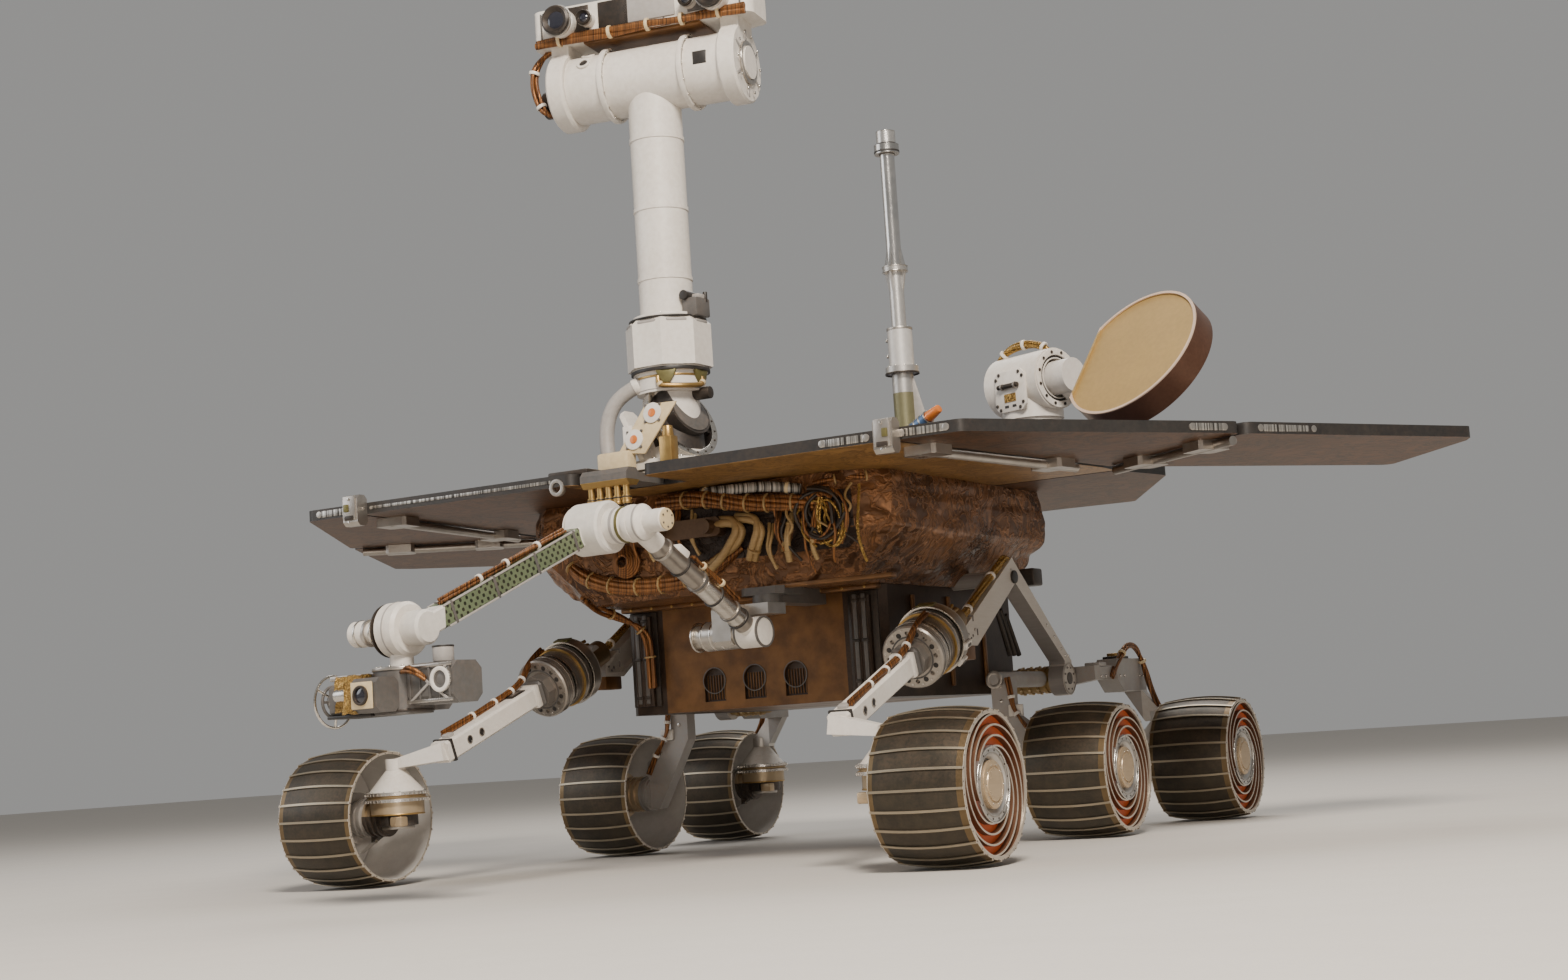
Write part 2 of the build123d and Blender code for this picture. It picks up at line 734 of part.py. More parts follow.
def bogie():
    """The left bogie: its pivot drum, bars, corner block and the two wheel legs."""
    pin_x = pin_place(rear_track)
    ribbed = [(pivot_drum_radius, pivot_drum_start_x), (pivot_drum_radius, cap_start_x - running_gap)]
    shape = across(turned(ribbed))
    rib_x = pivot_drum_start_x + pivot_rib_pitch
    while rib_x < cap_start_x - pivot_rib_width:
        shape += Pos(rib_x, 0, 0) * across(Cylinder(pivot_rib_radius, pivot_rib_width))
        rib_x += pivot_rib_pitch
    pin_end = cap_start_x + 2 * clearance - running_gap
    shape += Pos((pivot_drum_start_x + pin_end) / 2, 0, 0) * across(
        Cylinder(pivot_pin_radius - running_gap, pin_end - pivot_drum_start_x)
    )
    shape = Pos(0, pivot_y, pivot_z) * shape
    # The bracket behind the cap, the bar to the rear and the corner block.
    bar_half = bogie_bar_height / 2
    behind_cap = pivot_y + cap_radius + 2
    shape += Pos(bracket_x, (pivot_y + behind_cap + 30) / 2, pivot_z) * Box(
        bogie_bar_width, behind_cap + 30 - pivot_y, 2 * pivot_drum_radius - 4
    )
    bracket = [
        (bracket_x - bogie_bar_width / 2, pivot_z - pivot_drum_radius + 2),
        (bogie_x + bogie_bar_width / 2, bogie_bar_z - bar_half),
        (bogie_x + bogie_bar_width / 2, bogie_bar_z + bar_half),
        (bracket_x - bogie_bar_width / 2, pivot_z + pivot_drum_radius - 2),
    ]
    shape += front_plate(bracket, behind_cap, behind_cap + 30)
    bar_start = (bogie_x, behind_cap + 10, bogie_bar_z)
    shape += beam(bar_start, (bogie_x, corner_rear_y - 20, bogie_bar_z), bogie_bar_width, bogie_bar_height, 3)
    block = [
        (corner_front_y, bogie_bar_z - bar_half),
        (corner_front_y + corner_slope, corner_bottom),
        (corner_rear_y, corner_bottom),
        (corner_rear_y, corner_top),
        (corner_front_y + 6, corner_top),
        (corner_front_y - 6, bogie_bar_z + bar_half),
    ]
    shape += side_plate(block, bogie_x - corner_width / 2, bogie_x + corner_width / 2)
    half = rear_leg_width / 2
    head_top = kingpin_head_bottom + kingpin_head_height
    leg = [
        (bogie_x - half, corner_bottom + 2),
        (bogie_x + half, corner_bottom + 2),
        (pin_x + kingpin_head_radius / 2, head_top),
        (pin_x + kingpin_head_radius / 2, kingpin_head_bottom),
        (pin_x - kingpin_head_radius - 8, kingpin_head_bottom),
    ]
    low_y = rear_axle_y - rear_leg_thickness / 2
    shape += front_plate(leg, low_y, low_y + rear_leg_thickness)
    head_z = kingpin_head_bottom + kingpin_head_height / 2
    shape += Pos(pin_x, rear_axle_y, head_z) * Cylinder(kingpin_head_radius, kingpin_head_height)
    # The round tube forward to the middle wheel, its cranked leg and its motor.
    tube_front = -middle_leg_thickness / 2 - 8
    tube_start = (middle_tube_x, tube_front, middle_tube_z)
    shape += rod(tube_start, (middle_tube_x, pivot_y, middle_tube_z), middle_tube_radius)
    left = middle_leg_x - middle_leg_width / 2
    right = middle_leg_x + middle_leg_width / 2
    motor_x = middle_track / 2 - wheel_width / 2 + 8
    cranked = [
        (left, middle_tube_z),
        (right, middle_tube_z),
        (right, middle_leg_bend_z),
        (motor_x, wheel_radius + motor_radius + 32),
        (motor_x, wheel_radius - motor_radius),
        (motor_x - 24, wheel_radius - motor_radius),
        (left, middle_leg_bend_z - 8),
    ]
    shape += front_plate(cranked, -middle_leg_thickness / 2, middle_leg_thickness / 2)
    motor, _ = hub_motor(middle_track, 0, motor_x - 4)
    return shape + motor


def mast_foot():
    """The fixed foot of the mast, from the deck up to the turning collar."""
    top = collar_bottom - running_gap
    foot_top = deck_top + mast_foot_height
    outline = [
        (mast_foot_radius, deck_top),
        (mast_foot_radius, foot_top - 8),
        (mast_foot_radius - 8, foot_top),
        (mast_foot_radius - 36, foot_top),
        (mast_radius, mast_neck_top),
        (mast_radius + 14, mast_neck_top),
        (mast_radius + 14, top - 10),
        (mast_radius + 20, top - 8),
        (mast_radius + 20, top),
    ]
    shape = Pos(0, mast_y, 0) * turned(outline)
    place = Pos(16, mast_y - 4, foot_top + 72) * Rot(24, 62, 0)
    bezel = Cylinder(bezel_radius, bezel_depth) - Cylinder(bezel_radius - bezel_width, bezel_depth)
    for turn in range(0, 180, 45):
        bezel += Rot(0, 0, turn) * Box(2 * bezel_radius - bezel_width, 8, bezel_depth / 2)
    shape += place * bezel + place * Cylinder(mast_radius - 4, 60)
    plate = chamfer(Box(10, 44, 120).edges().filter_by(Axis.X), 8)
    return shape + Pos(-34, mast_y - 62, foot_top + 36) * Rot(0, -24, 0) * plate


def connector_block():
    """The connector bar that fills the deck's slot in front of the mast."""
    low = deck_top - panel_thickness
    bar = chamfer(Box(96, 40, 30).edges().filter_by(Axis.X), 9)
    shape = Pos(-12, deck_front_y + 26, low + 6) * bar
    for step in range(5):
        plug = [(8, low - 41), (8, low - 26), (6, low - 26), (6, low)]
        shape += Pos(-48 + step * 18, deck_front_y + 22, 0) * turned(plug)
    return shape + Pos(-12, deck_front_y + (30 + mast_slot_depth) / 2, low + 10) * Box(
        60, mast_slot_depth - 30, 16
    )


def low_gain_mast():
    """The thin fixed antenna mast on the deck, with gussets at its joint."""
    shape = turned(low_gain_outline)
    tube = 13.0
    for turn in range(0, 360, 90):
        for start, rise in ((low_gain_joint, -1), (low_gain_joint + low_gain_joint_height, 1)):
            web = make_face(
                Plane.XZ
                * Polyline(
                    (tube - 2, start),
                    (gusset_reach, start),
                    (tube, start + rise * gusset_height),
                    (tube - 2, start + rise * gusset_height),
                    close=True,
                )
            )
            shape += Rot(0, 0, turn) * extrude(web, gusset_thickness / 2, both=True)
    return Pos(low_gain_x, low_gain_y, deck_top) * shape


def dish_base():
    """The fixed foot of the dish's gimbal."""
    foot = chamfer(Box(*dish_foot_size).edges().filter_by(Axis.Z), 14)
    foot_top = deck_top + dish_foot_size[2]
    post = [
        (dish_post_radius + 6, foot_top),
        (dish_post_radius, foot_top + 10),
        (dish_post_radius, foot_top + dish_post_height),
    ]
    return Pos(dish_x, dish_y, foot_top - dish_foot_size[2] / 2) * foot + Pos(dish_x, dish_y, 0) * turned(post)


def dish_place():
    """The dish's frame: x along its tilt axis, z out of its face."""
    return Pos(dish_x, dish_y, dish_axis_z) * Rot(0, 0, -dish_turn)


def dish_gimbal():
    """The turning gimbal housing, with its ring opening at the far end."""
    low = deck_top + dish_foot_size[2] + dish_post_height + running_gap
    body = Pos(dish_x, dish_y, (low + dish_axis_z) / 2) * Cylinder(gimbal_radius, dish_axis_z - low)
    cross = across(Cylinder(gimbal_radius, 2 * gimbal_half_length))
    mouth = Pos(gimbal_half_length - gimbal_ring_depth / 2, 0, 0) * across(
        Cylinder(gimbal_ring_radius, gimbal_ring_depth)
    )
    return body + dish_place() * cross - dish_place() * mouth


def dish():
    """The flat antenna, cut straight on its near side, with its arm to the tilt axis."""
    start = gimbal_half_length + running_gap
    boss_low = gimbal_half_length - gimbal_ring_depth + running_gap
    boss_high = start + dish_boss_length
    boss = Pos((boss_low + boss_high) / 2, 0, 0) * across(Cylinder(dish_boss_radius, boss_high - boss_low))
    arm_z = dish_face_rise - dish_depth - dish_arm_thickness / 2
    arm = Pos((start + dish_reach) / 2 + 10, 0, arm_z) * chamfer(
        Box(dish_reach - start - 20, dish_arm_width, dish_arm_thickness).edges().filter_by(Axis.Z), 10
    )
    link = Pos(start + 26, 0, arm_z / 2) * Box(36, dish_arm_width - 6, -arm_z)
    disc = Cylinder(dish_radius, dish_depth)
    disc -= Pos(0, 0, dish_depth / 2) * Cylinder(dish_radius - dish_rim, 2 * dish_face_depth)
    disc -= Pos(-dish_chord - dish_radius / 2, 0, 0) * Box(dish_radius, 2 * dish_radius, dish_depth)
    disc += Pos(-dish_chord + dish_rim / 2, 0, 0) * Box(dish_rim, 1.2 * dish_radius, dish_depth)
    disc = Pos(dish_reach, 0, dish_face_rise - dish_depth / 2) * disc
    tilt = Rot(dish_tilt, 0, 0)
    return dish_place() * boss + dish_place() * tilt * (link + arm + disc)


def shoulder_mount():
    """The fixed bracket that hangs the arm from the body's front shelf."""
    x, y = yaw_axis
    plate = Pos(x, y + 20, shelf_bottom - mount_plate_thickness / 2) * Box(88, 90, mount_plate_thickness)
    plate = chamfer(plate.edges().filter_by(Axis.Z), 12)
    post = Pos(x, y, shelf_bottom - 1.5 * mount_plate_thickness) * Cylinder(26, mount_plate_thickness)
    strut = Pos(x, (y + body_front_y) / 2, shelf_bottom - mount_plate_thickness) * Box(
        44, body_front_y - y, 2 * mount_plate_thickness
    )
    return plate + post + strut


def arm_frame():
    """The arm's frame at its yaw axis: x across the arm, -y along it."""
    return Pos(yaw_axis[0], yaw_axis[1], 0) * Rot(0, 0, -arm_yaw)


def arm_points():
    """The three pitch axes in the arm's own frame, as (y, z)."""
    shoulder = Vector(-shoulder_forward, shoulder_z)
    rise = math.radians(upper_arm_rise)
    elbow = shoulder + Vector(-math.cos(rise), math.sin(rise)) * upper_arm_length
    drop = math.radians(forearm_rise)
    wrist = elbow + Vector(-math.cos(drop), math.sin(drop)) * forearm_length
    return shoulder, elbow, wrist


def shoulder_yaw():
    """The arm's turning shoulder: the yaw plate and the pitch drive."""
    shoulder = arm_points()[0]
    top = shelf_bottom - 2 * mount_plate_thickness - running_gap
    low = shoulder_z + boss_radius + clearance
    plate_y = -shoulder_forward + boss_radius - 10
    plate = Pos(-24, (plate_y + 24) / 2, (top + low) / 2) * Box(yaw_plate_width, 24 - plate_y, top - low)
    cheek_x = -boss_half - clearance - shoulder_cheek / 2
    cheek = Pos(cheek_x, -shoulder_forward / 2 - 14, (top + shoulder_z - 20) / 2) * Box(
        shoulder_cheek, shoulder_forward + 28, top - shoulder_z + 20
    )
    cheek = chamfer(cheek.edges().filter_by(Axis.X), 8)
    drive = [
        (shoulder_motor_radius - 6, shoulder_motor_end),
        (shoulder_motor_radius - 6, shoulder_motor_end + 24),
        (shoulder_motor_radius, shoulder_motor_end + 24),
        (shoulder_motor_radius, -boss_half),
    ]
    return arm_frame() * (plate + cheek + Pos(0, shoulder.X, shoulder.Y) * across(turned(drive)))


def upper_arm():
    """The tube from the shoulder to the elbow, with the elbow's drive."""
    shoulder, elbow, _ = arm_points()
    start = -boss_half + running_gap
    shape = rod((start, shoulder.X, shoulder.Y), (boss_half, shoulder.X, shoulder.Y), boss_radius)
    low = Vector(0, shoulder.X, shoulder.Y)
    high = Vector(0, elbow.X, elbow.Y)
    run = (high - low).normalized()
    shape += rod(low, high, arm_tube_radius)
    for share in (0.2, 0.48, 0.76):
        ring_at = low + (high - low) * share
        shape += rod(ring_at, ring_at + run * seam_ring_width, arm_tube_radius + seam_ring)
    drive = [
        (elbow_housing_radius, elbow_housing_start),
        (elbow_housing_radius, elbow_housing_start + 30),
        (elbow_housing_radius - 3, elbow_housing_start + 32),
        (elbow_housing_radius - 3, elbow_housing_start + 42),
        (elbow_housing_radius, elbow_housing_start + 44),
        (elbow_housing_radius, 24),
        (elbow_motor_radius + 4, 30),
        (elbow_motor_radius, 32),
        (elbow_motor_radius, elbow_motor_end - 2),
        (elbow_motor_radius - 2, elbow_motor_end),
    ]
    shape += Pos(0, elbow.X, elbow.Y) * across(turned(drive))
    return arm_frame() * shape


def forearm():
    """The square tube from the elbow to the wrist."""
    _, elbow, wrist = arm_points()
    hub = [
        (elbow_radius - 6, -arm_offset - elbow_width),
        (elbow_radius, -arm_offset - elbow_width + 6),
        (elbow_radius, elbow_housing_start - running_gap - 4),
        (elbow_radius - 4, elbow_housing_start - running_gap),
    ]
    shape = Pos(0, elbow.X, elbow.Y) * across(turned(hub))
    shape += beam(
        (-arm_offset, elbow.X, elbow.Y),
        (-arm_offset, wrist.X, wrist.Y),
        forearm_size,
        forearm_size,
        forearm_edge,
    )
    low_x = -arm_offset - wrist_housing_half
    high_x = -arm_offset + wrist_housing_half
    housing = [
        (wrist_housing_radius, low_x),
        (wrist_housing_radius, high_x - 4),
        (wrist_housing_radius - 4, high_x),
    ]
    return arm_frame() * (shape + Pos(0, wrist.X, wrist.Y) * across(turned(housing)))


def wrist_start():
    """Where the wrist's hub begins, across the arm."""
    return -arm_offset - wrist_housing_half - running_gap


def wrist():
    """The wrist's hub with its stepped drive and the turret's post."""
    _, _, wrist_at = arm_points()
    start = wrist_start()
    motor_start = start - wrist_width - wrist_motor_length
    drive = [
        (wrist_motor_radius - 2, motor_start),
        (wrist_motor_radius, motor_start + 3),
        (wrist_motor_radius, motor_start + 30),
        (wrist_motor_radius - 3, motor_start + 32),
        (wrist_motor_radius - 3, motor_start + 46),
        (wrist_motor_radius, motor_start + 48),
        (wrist_motor_radius, start - wrist_width),
        (wrist_radius - 8, start - wrist_width),
        (wrist_radius, start - wrist_width + 8),
        (wrist_radius, start - 5),
        (wrist_radius - 5, start),
    ]
    shape = Pos(0, wrist_at.X, wrist_at.Y) * across(turned(drive))
    post_x = start - wrist_width / 2
    post_end = (post_x, wrist_at.X, wrist_at.Y - wrist_post_length)
    return arm_frame() * (shape + rod((post_x, wrist_at.X, wrist_at.Y), post_end, wrist_post_radius))


def turret_place():
    """The turret's own frame, with its turning axis along z."""
    _, _, wrist_at = arm_points()
    return arm_frame() * Pos(wrist_start() - wrist_width / 2, wrist_at.X, wrist_at.Y)


def turret():
    """The turret's body with its four instruments."""
    top = -wrist_post_length - running_gap
    low = -2 * turret_drop + wrist_post_length + running_gap
    body = [(turret_radius, low), (turret_radius, top - 6), (turret_radius - 6, top)]
    shape = turned(body)
    # Columns: place of the instrument's box, its size and how much its long edges are cut.
    boxes = (
        ((-84, 0, -100), (88, 62, 48), 6),
        ((86, 0, -86), (92, 64, 62), 12),
        ((0, -60, -98), (52, 48, 52), 8),
        ((0, 58, -96), (48, 44, 54), 8),
    )
    for place, size, cut in boxes:
        shape += Pos(*place) * chamfer(Box(*size).edges().filter_by(Axis.X), cut)
    shape += Pos(-138, 0, -100) * across(Cylinder(15, 24))
    shape += Pos(-150, 0, -100) * across(Torus(24, 2.5))
    for turn in (0, 90):
        shape += Pos(-150, 0, -100) * Rot(turn, 0, 0) * Box(4, 48, 4)
    shape += Pos(112, -28, -82) * Rot(90, 0, 0) * (Cylinder(19, 18) - Cylinder(9, 18))
    return turret_place() * shape


def head_place():
    """The mast head's frame at its pitch axis."""
    return Pos(0, mast_y, tee_z) * Rot(0, 0, head_yaw)


def mast_tube():
    """The turning mast: the eight-sided collar, the tube and the cross tube on top."""
    octagon = extrude(RegularPolygon(collar_radius, 8), collar_top - collar_bottom)
    octagon = chamfer(octagon.faces().sort_by(Axis.Z)[-1].edges(), collar_edge)
    shape = Pos(0, mast_y, collar_bottom) * Rot(0, 0, 22.5) * octagon
    shape += Pos(0, mast_y, (collar_top + tee_z) / 2) * Cylinder(mast_radius, tee_z - collar_top)
    for z in mast_seams:
        shape += Pos(0, mast_y, z) * Cylinder(mast_radius + mast_seam, mast_seam_height)
    tee = across(Cylinder(tee_radius, 2 * tee_half_length))
    for x in (-tee_flange_x, tee_flange_x):
        tee += Pos(x, 0, 0) * across(Cylinder(tee_radius + 4, tee_flange_width))
    return shape + head_place() * tee


def camera_head():
    """The camera bar with its two end cheeks on the pitch axis."""
    inner = tee_half_length + running_gap
    low = bar_bottom - tee_z
    bar_z = low + bar_height / 2
    bar = Box(2 * bar_half_length, bar_depth, bar_height)
    bar = fillet(bar.edges().filter_by(Axis.Z), bar_corner)
    shape = Pos(0, 0, bar_z) * bar
    tray = fillet(Box(2 * bar_half_length - 30, bar_depth + tray_lip, 6).edges().filter_by(Axis.Z), bar_corner)
    shape += Pos(0, 0, low + 3) * tray
    for side in (-1, 1):
        mid_x = side * (inner + cheek_thickness / 2)
        cheek = chamfer(Cylinder(cheek_radius, cheek_thickness).edges(), 4)
        shape += Pos(mid_x, 0, 0) * across(cheek)
        boss_x = side * (inner + cheek_thickness + cheek_boss_height / 2)
        shape += Pos(boss_x, 0, 0) * across(Cylinder(cheek_boss_radius, cheek_boss_height))
        shape += Pos(mid_x, 0, (low + 4) / 2) * Box(cheek_thickness, bar_depth * 0.7, low + 4)
    # Columns: how far apart the pair stands, the barrel's radius and its reach.
    pairs = (
        (outer_camera_spacing, outer_camera_radius, outer_camera_reach),
        (inner_camera_spacing, inner_camera_radius, inner_camera_reach),
    )
    for spacing, radius, reach in pairs:
        hood = turned([(radius, -6), (radius, reach * 0.6), (radius - 3, reach * 0.65), (radius - 3, reach)])
        hood -= Pos(0, 0, reach) * Cylinder(radius - 7, reach / 2)
        for side in (-1, 1):
            shape += Pos(side * spacing / 2, -bar_depth / 2, bar_z) * Rot(90, 0, 0) * hood
    return head_place() * shape


def hazard_cameras(front):
    """A pair of small wide cameras under the deck, at the front or the rear."""
    y = shelf_front_y - 13 if front else shelf_rear_y + 13
    reach = -1 if front else 1
    z = 600.0
    body = chamfer(Box(150, 26, 34).edges().filter_by(Axis.Y), 6)
    shape = Pos(0, y, z) * body
    for side in (-1, 1):
        shape += Pos(side * 52, y + reach * 20, z) * Rot(90, 0, 0) * Cylinder(13, 22)
    return shape


nodes = {
    "lower_body": lower_body(),
    "upper_body": upper_body(),
    "deck_core": deck_core(),
    "tail_panel": tail_panel(),
    "mast_foot": mast_foot(),
    "connector_block": connector_block(),
    "low_gain_mast": low_gain_mast(),
    "dish_base": dish_base(),
    "dish_gimbal": dish_gimbal(),
    "dish": dish(),
    "shoulder_mount": shoulder_mount(),
    "shoulder_yaw": shoulder_yaw(),
    "upper_arm": upper_arm(),
    "forearm": forearm(),
    "wrist": wrist(),
    "turret": turret(),
    "mast_tube": mast_tube(),
    "camera_head": camera_head(),
    "hazard_cameras_front": hazard_cameras(True),
    "hazard_cameras_rear": hazard_cameras(False),
}

mirrored = {
    "wing_front": wing_front(),
    "wing_rear": wing_rear(),
    "wing_hinges": wing_hinges(),
    "rocker": rocker(),
    "front_arm": front_arm(),
    "bogie": bogie() - rocker(),
    "knuckle_front": knuckle(front_axle_y, front_track),
    "knuckle_rear": knuckle(rear_axle_y, rear_track),
}
for name, shape in mirrored.items():
    nodes[name + "_left"] = shape
    nodes[name + "_right"] = other_side(shape)

one_wheel = wheel()
wheel_rows = (
    ("front", front_track, front_axle_y),
    ("middle", middle_track, 0.0),
    ("rear", rear_track, rear_axle_y),
)
for row, track, axle_y in wheel_rows:
    placed = Pos(track / 2, axle_y, wheel_radius) * one_wheel
    nodes["wheel_" + row + "_left"] = placed
    nodes["wheel_" + row + "_right"] = other_side(placed)

os.makedirs("parts", exist_ok=True)
for name, shape in nodes.items():
    export_step(Pos(0, frame_shift_y, 0) * shape, "parts/" + name + ".step")
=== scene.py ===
import logging
import math
from dataclasses import dataclass, replace
from enum import Enum

import bmesh
import bpy
from mathutils import Matrix, Vector, noise


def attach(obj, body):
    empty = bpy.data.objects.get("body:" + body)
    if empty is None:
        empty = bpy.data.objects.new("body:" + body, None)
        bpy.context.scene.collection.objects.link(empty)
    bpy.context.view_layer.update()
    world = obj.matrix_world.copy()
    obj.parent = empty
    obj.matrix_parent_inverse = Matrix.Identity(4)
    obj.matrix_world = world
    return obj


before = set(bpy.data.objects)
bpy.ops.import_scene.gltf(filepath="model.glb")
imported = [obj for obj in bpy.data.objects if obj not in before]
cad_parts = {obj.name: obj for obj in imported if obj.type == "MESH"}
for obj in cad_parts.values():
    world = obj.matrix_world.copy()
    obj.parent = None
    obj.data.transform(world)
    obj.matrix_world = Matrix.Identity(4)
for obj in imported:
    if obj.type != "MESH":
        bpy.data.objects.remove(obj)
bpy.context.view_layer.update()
log = logging.getLogger("rover")

Socket = bpy.types.NodeSocket
Tree = bpy.types.NodeTree
Value = float | int | tuple | Socket
Colour = tuple[float, float, float]

# Sizes are in metres. Places that go through at() are measured from the middle axle.
AXLE_SHIFT = 0.352
AXLE_HEIGHT = 0.125
DECK_TOP = 0.693
MAST_Y = -0.537
HEAD_HEIGHT = 1.426
SKIN_Y = -0.506
WHEEL_CROWN = 1.13
MERGE_DISTANCE = 1e-6
BEVEL_ANGLE = 38.0
SMOOTH_ANGLE = 33.0
SIDES = (("left", 1.0), ("right", -1.0))
# Rows of wheels: the name, how far back the axle is, and how far out the wheel and its steering pin are.
WHEEL_ROWS = (("front", -0.748, 0.596, 0.5), ("middle", 0.0, 0.519, None), ("rear", 0.503, 0.574, 0.478))


def at(x: float, y: float, z: float) -> Vector:
    """A place measured from the middle axle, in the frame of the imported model."""
    return Vector((x, y + AXLE_SHIFT, z))


def rolled(degrees: float, axis: str = "Z") -> Matrix:
    """A turn about one axis."""
    return Matrix.Rotation(math.radians(degrees), 4, axis)


def turn_about(place: Vector, degrees: float, axis: str = "Z") -> Matrix:
    """A frame at a place, turned about one of its axes."""
    return Matrix.Translation(place) @ rolled(degrees, axis)


def route(points: tuple, place: Matrix | None = None) -> tuple:
    """Places along a run, in a frame or else from the middle axle."""
    if place is None:
        return tuple(at(*point) for point in points)
    return tuple(place @ Vector(point) for point in points)


def aim(start: Vector, end: Vector, up: str = "Y") -> Matrix:
    """A frame at the start of a run, with its Z along the run."""
    return Matrix.Translation(start) @ (end - start).to_track_quat("Z", up).to_matrix().to_4x4()


def outward(place: Vector, sign: float) -> Matrix:
    """A frame whose Z points out to one side of the rover."""
    return turn_about(place, 90.0 * sign, "Y")


def run_frame(start: Vector, end: Vector) -> Matrix:
    """A frame at the start of a run: Z along it, X level, Y up."""
    ahead = (end - start).normalized()
    level = Vector((0, 0, 1)).cross(ahead).normalized()
    return Matrix.Translation(start) @ Matrix((level, ahead.cross(level), ahead)).transposed().to_4x4()


def moved(place: Matrix, x: float = 0.0, y: float = 0.0, z: float = 0.0) -> Matrix:
    """A frame moved along its own axes."""
    return place @ Matrix.Translation((x, y, z))


ARM_SHOULDER = (-0.047, 0.405)
ARM_ELBOW = (-0.3647, 0.5826)
ARM_WRIST = (-0.7745, 0.417)
ARM_FRAME = turn_about(at(0.14, -0.486, 0.0), -5.0)
HEAD_FRAME = turn_about(at(0.0, MAST_Y, HEAD_HEIGHT), 10.0)
DISH_FRAME = turn_about(at(0.466, 0.0, 0.857), -21.0)
DISH_TILTED = DISH_FRAME @ rolled(54.6, "X")
TURRET_FRAME = ARM_FRAME @ Matrix.Translation((-0.1353, *ARM_WRIST))


class Grain(Enum):
    """What the fine surface of a finish looks like."""

    SMOOTH = "smooth"
    CAST = "cast"
    BRUSHED = "brushed"
    CRINKLED = "crinkled"
    STRIATED = "striated"
    PIERCED = "pierced"
    CELLS = "cells"


class Space(Enum):
    """What the coordinates of a zone measure."""

    PLACE = "place"
    MIRRORED = "mirrored"
    AXLE = "axle"
    FACING = "facing"


class Coat(Enum):
    """The finishes that the rover's pieces are given."""

    WHITE = "white_enamel"
    GREY = "grey_enamel"
    SLATE = "slate_enamel"
    ALLOY = "satin_alloy"
    STEEL = "polished_steel"
    DARK = "dark_anodised"
    BLACK = "black_rubber"
    GLASS = "lens_glass"
    BRASS = "aged_brass"
    TAN = "tan_cap"
    COPPER = "copper_wrap"
    GOLD = "gold_foil"
    BRONZE = "bronze_panel"
    BLANKET = "brown_blanket"
    STRIPED = "striated_silver"
    OLIVE = "olive_paint"
    ORANGE = "orange_cap"
    BLUE = "blue_anodised"
    CREAM = "cream_plate"
    GREEN = "green_coat"
    WEAVE = "braided_hose"
    RIM = "wheel_rim"
    STRAP = "tan_strap"


def node(tree: Tree, kind: str, inputs: dict[str, Value] | None = None, **settings) -> bpy.types.Node:
    """Adds a shader node.

    Args:
        tree: The material's or group's node tree.
        kind: The node's type without its ShaderNode prefix.
        inputs: Socket names or numbers, each with a value or the socket that feeds it.
        settings: Properties of the node.

    Returns:
        The new node.
    """
    made = tree.nodes.new("ShaderNode" + kind)
    for name, value in settings.items():
        setattr(made, name, value)
    for name, value in (inputs or {}).items():
        socket = made.inputs[name]
        if isinstance(value, Socket):
            tree.links.new(value, socket)
        elif isinstance(value, tuple) and len(value) == 3 and socket.type == "RGBA":
            socket.default_value = (*value, 1.0)
        else:
            socket.default_value = value
    return made


def calc(tree: Tree, operation: str, *values: Value, clamp: bool = False) -> Socket:
    """The outcome of a sum on numbers."""
    inputs = {index: value for index, value in enumerate(values)}
    return node(tree, "Math", inputs, operation=operation, use_clamp=clamp).outputs[0]


def vector_calc(tree: Tree, operation: str, first: Socket, second: Socket) -> Socket:
    """The outcome of a sum on vectors that is a vector."""
    return node(tree, "VectorMath", {0: first, 1: second}, operation=operation).outputs[0]


def blend(tree: Tree, share: Value, first: Value, second: Value) -> Socket:
    """A colour between two others."""
    inputs = {0: share, 6: first, 7: second}
    return node(tree, "Mix", inputs, data_type="RGBA").outputs[2]


def blend_number(tree: Tree, share: Value, first: Value, second: Value) -> Socket:
    """A number between two others."""
    return node(tree, "Mix", {0: share, 2: first, 3: second}, data_type="FLOAT").outputs[0]


def spread(tree: Tree, value: Socket, low: float, high: float) -> Socket:
    """A number taken from low..high to 0..1."""
    return node(tree, "MapRange", {0: value, 1: low, 2: high}).outputs[0]


def new_group(name: str, inputs: dict[str, str], outputs: dict[str, str]) -> tuple:
    """Starts a node group.

    Args:
        name: The group's name.
        inputs: Input names with their socket types.
        outputs: Output names with their socket types.

    Returns:
        The tree, its input node and its output node.
    """
    tree = bpy.data.node_groups.new(name, "ShaderNodeTree")
    for label, kind in inputs.items():
        tree.interface.new_socket(label, in_out="INPUT", socket_type="NodeSocket" + kind)
    for label, kind in outputs.items():
        tree.interface.new_socket(label, in_out="OUTPUT", socket_type="NodeSocket" + kind)
    return tree, tree.nodes.new("NodeGroupInput"), tree.nodes.new("NodeGroupOutput")


